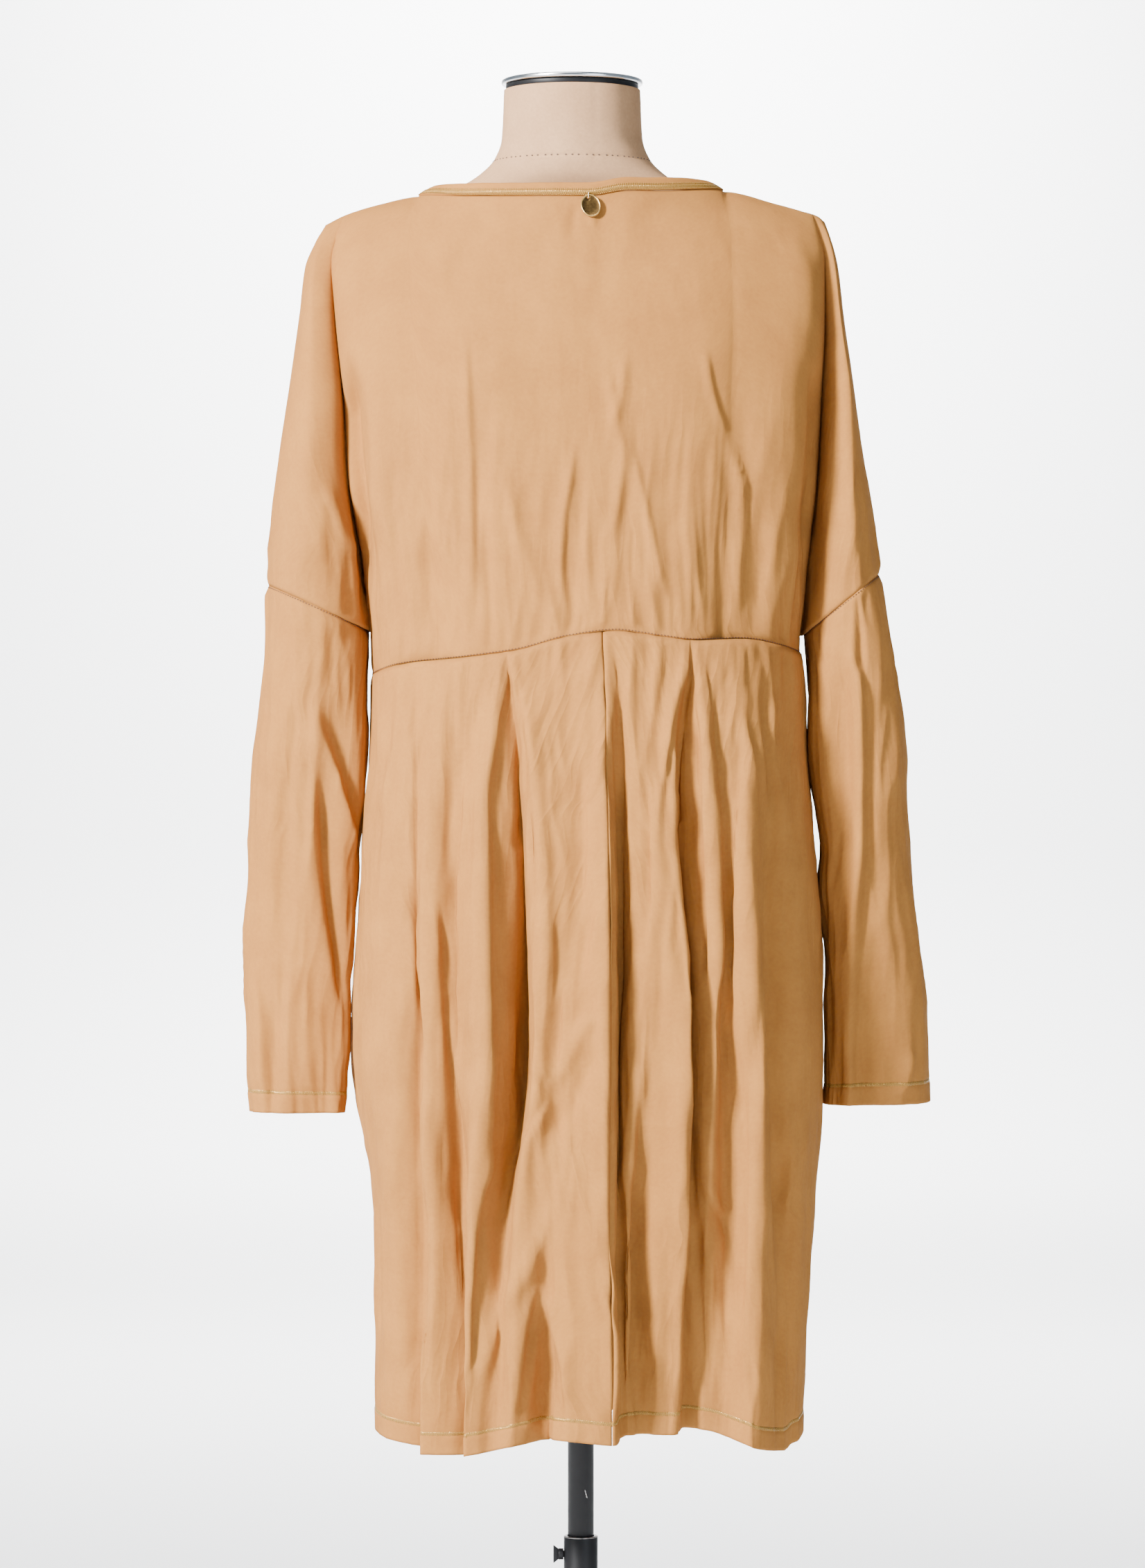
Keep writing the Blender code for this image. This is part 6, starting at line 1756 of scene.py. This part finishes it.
CHARM_WIDTH, CHARM_LENGTH = 0.0156, 0.0198
CHARM_HOLE, CHARM_HOLE_INSET = 0.0016, 0.0026
CHARM_ACROSS, STITCH_HEIGHT = 0.0060, 1.4400
CHARM_TILT = math.radians(15)
LOOP_HALF_LENGTH, LOOP_HALF_WIDTH, LOOP_THREAD = 0.0022, 0.0018, 0.00035
LOOP_SIDES, THREAD_SIDES = 40, 10
LOOP_LEAN, LOOP_CLEARANCE = math.radians(22), 0.0012
BINDING_CROWN = 0.0008

stitch_y = min(p.y for p in edge if abs(p.x - CHARM_ACROSS) < 0.002) - BINDING_CROWN
stitch = Vector((CHARM_ACROSS, stitch_y - LOOP_THREAD - LOOP_CLEARANCE, STITCH_HEIGHT))
lean = Vector((0.0, -math.sin(LOOP_LEAN), -math.cos(LOOP_LEAN)))
hole = stitch + 2 * LOOP_HALF_LENGTH * lean

charm_low, charm_high = (Vector(corner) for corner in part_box("charm"))
brass, brass_shader = principled("aged_brass", (0.30, 0.17, 0.06), 0.34, Metallic=1.0)
add, feed = nodes_of(brass)
grime = add(
    "TexNoise", Vector=add("TexCoord").outputs["Object"], Scale=420.0, Detail=5.0, Roughness=0.7
)
worn = add("Attribute", attribute_name="worn")
shade = add("MapRange", Value=grime, From_Min=0.35, From_Max=0.75, To_Min=0.0, To_Max=0.3)
mixed = add("Math", worn.outputs["Fac"], 0.9, shade, operation="MULTIPLY_ADD", use_clamp=True)
tinted(brass, brass_shader, mixed, (0.055, 0.026, 0.010), (0.50, 0.31, 0.10))
hammer = add("Bump", Strength=0.35, Distance=0.0002, Height=grime)
feed(brass_shader.inputs["Normal"], hammer)

middle = (charm_low + charm_high) / 2
fall = Vector((0.0, middle.y - hole.y, middle.z - hole.z)).normalized()
across = Vector((1.0, 0.0, 0.0))
long_way = (fall * math.cos(CHARM_TILT) + across * math.sin(CHARM_TILT)).normalized()
face = across.cross(fall).normalized()
face = -face if face.y > 0 else face
wide_way = long_way.cross(face).normalized()
centre = hole + long_way * (CHARM_LENGTH / 2 - CHARM_HOLE_INSET)
CHARM_PROFILE = (
    # size, out from the middle of its thickness, worn
    (0.0, -0.0006, 0.2), (0.93, -0.0006, 0.4), (0.985, -0.0004, 0.7), (1.0, 0.0, 0.9),
    (0.995, 0.0007, 1.0), (0.96, 0.00098, 1.0), (0.91, 0.00098, 0.95), (0.87, 0.0007, 0.4),
    (0.84, 0.00058, 0.05), (0.40, 0.0007, 0.12), (0.0, 0.00076, 0.15),
)
CHARM_SIDES = 72
disc = bmesh.new()
wear = disc.verts.layers.float.new("worn")
bmesh.ops.create_grid(disc, x_segments=CHARM_SIDES, y_segments=len(CHARM_PROFILE) - 1, size=1.0)
for vert in disc.verts:
    i = round((vert.co.y + 1) / 2 * (len(CHARM_PROFILE) - 1))
    angle = (vert.co.x + 1) * math.pi
    size, rise, share = CHARM_PROFILE[i]
    vert[wear] = share
    vert.co = (
        centre + rise * face
        + size * CHARM_WIDTH / 2 * math.cos(angle) * wide_way
        + size * CHARM_LENGTH / 2 * math.sin(angle) * long_way
    )
bmesh.ops.remove_doubles(disc, verts=disc.verts, dist=0.000005)
bmesh.ops.recalc_face_normals(disc, faces=disc.faces)
charm = shown("oval_charm", disc, brass)
charm.data.shade_smooth()
drill = bmesh.new()
bmesh.ops.create_cone(
    drill, cap_ends=True, segments=24, radius1=CHARM_HOLE * 0.8, radius2=CHARM_HOLE * 0.8,
    depth=0.006,
)
bmesh.ops.transform(
    drill, verts=drill.verts,
    matrix=Matrix.Translation(hole) @ face.to_track_quat("Z", "Y").to_matrix().to_4x4(),
)
tool = shown("charm_drill", drill)
punch = charm.modifiers.new("Hole", "BOOLEAN")
punch.operation = "DIFFERENCE"
punch.object = tool
bpy.context.view_layer.update()
pierced = bpy.data.meshes.new_from_object(
    charm.evaluated_get(bpy.context.evaluated_depsgraph_get())
)
charm.modifiers.clear()
charm.data = pierced
bpy.data.objects.remove(tool)
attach(charm, "charm")
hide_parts("charm")

pale_thread = principled("pale_thread", (0.70, 0.52, 0.33), 0.75, Sheen_Weight=0.2)[0]
aside = across.cross(lean)
loops = []
for k in range(LOOP_SIDES):
    angle = math.tau * k / LOOP_SIDES
    radial = math.cos(angle) * lean + math.sin(angle) * aside
    middle = (
        stitch + LOOP_HALF_LENGTH * lean
        + LOOP_HALF_LENGTH * math.cos(angle) * lean + LOOP_HALF_WIDTH * math.sin(angle) * aside
    )
    loops.append([
        middle + LOOP_THREAD * (math.cos(t) * radial + math.sin(t) * across)
        for t in (math.tau * j / THREAD_SIDES for j in range(THREAD_SIDES))
    ])
loop_places = np.array([[p[:] for p in ring + ring[:1]] for ring in loops + loops[:1]])
loop_thread = cloth_grid("charm_thread_loop", loop_places, pale_thread, closed=True)
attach(loop_thread, "charm")
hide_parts("charm_loop")
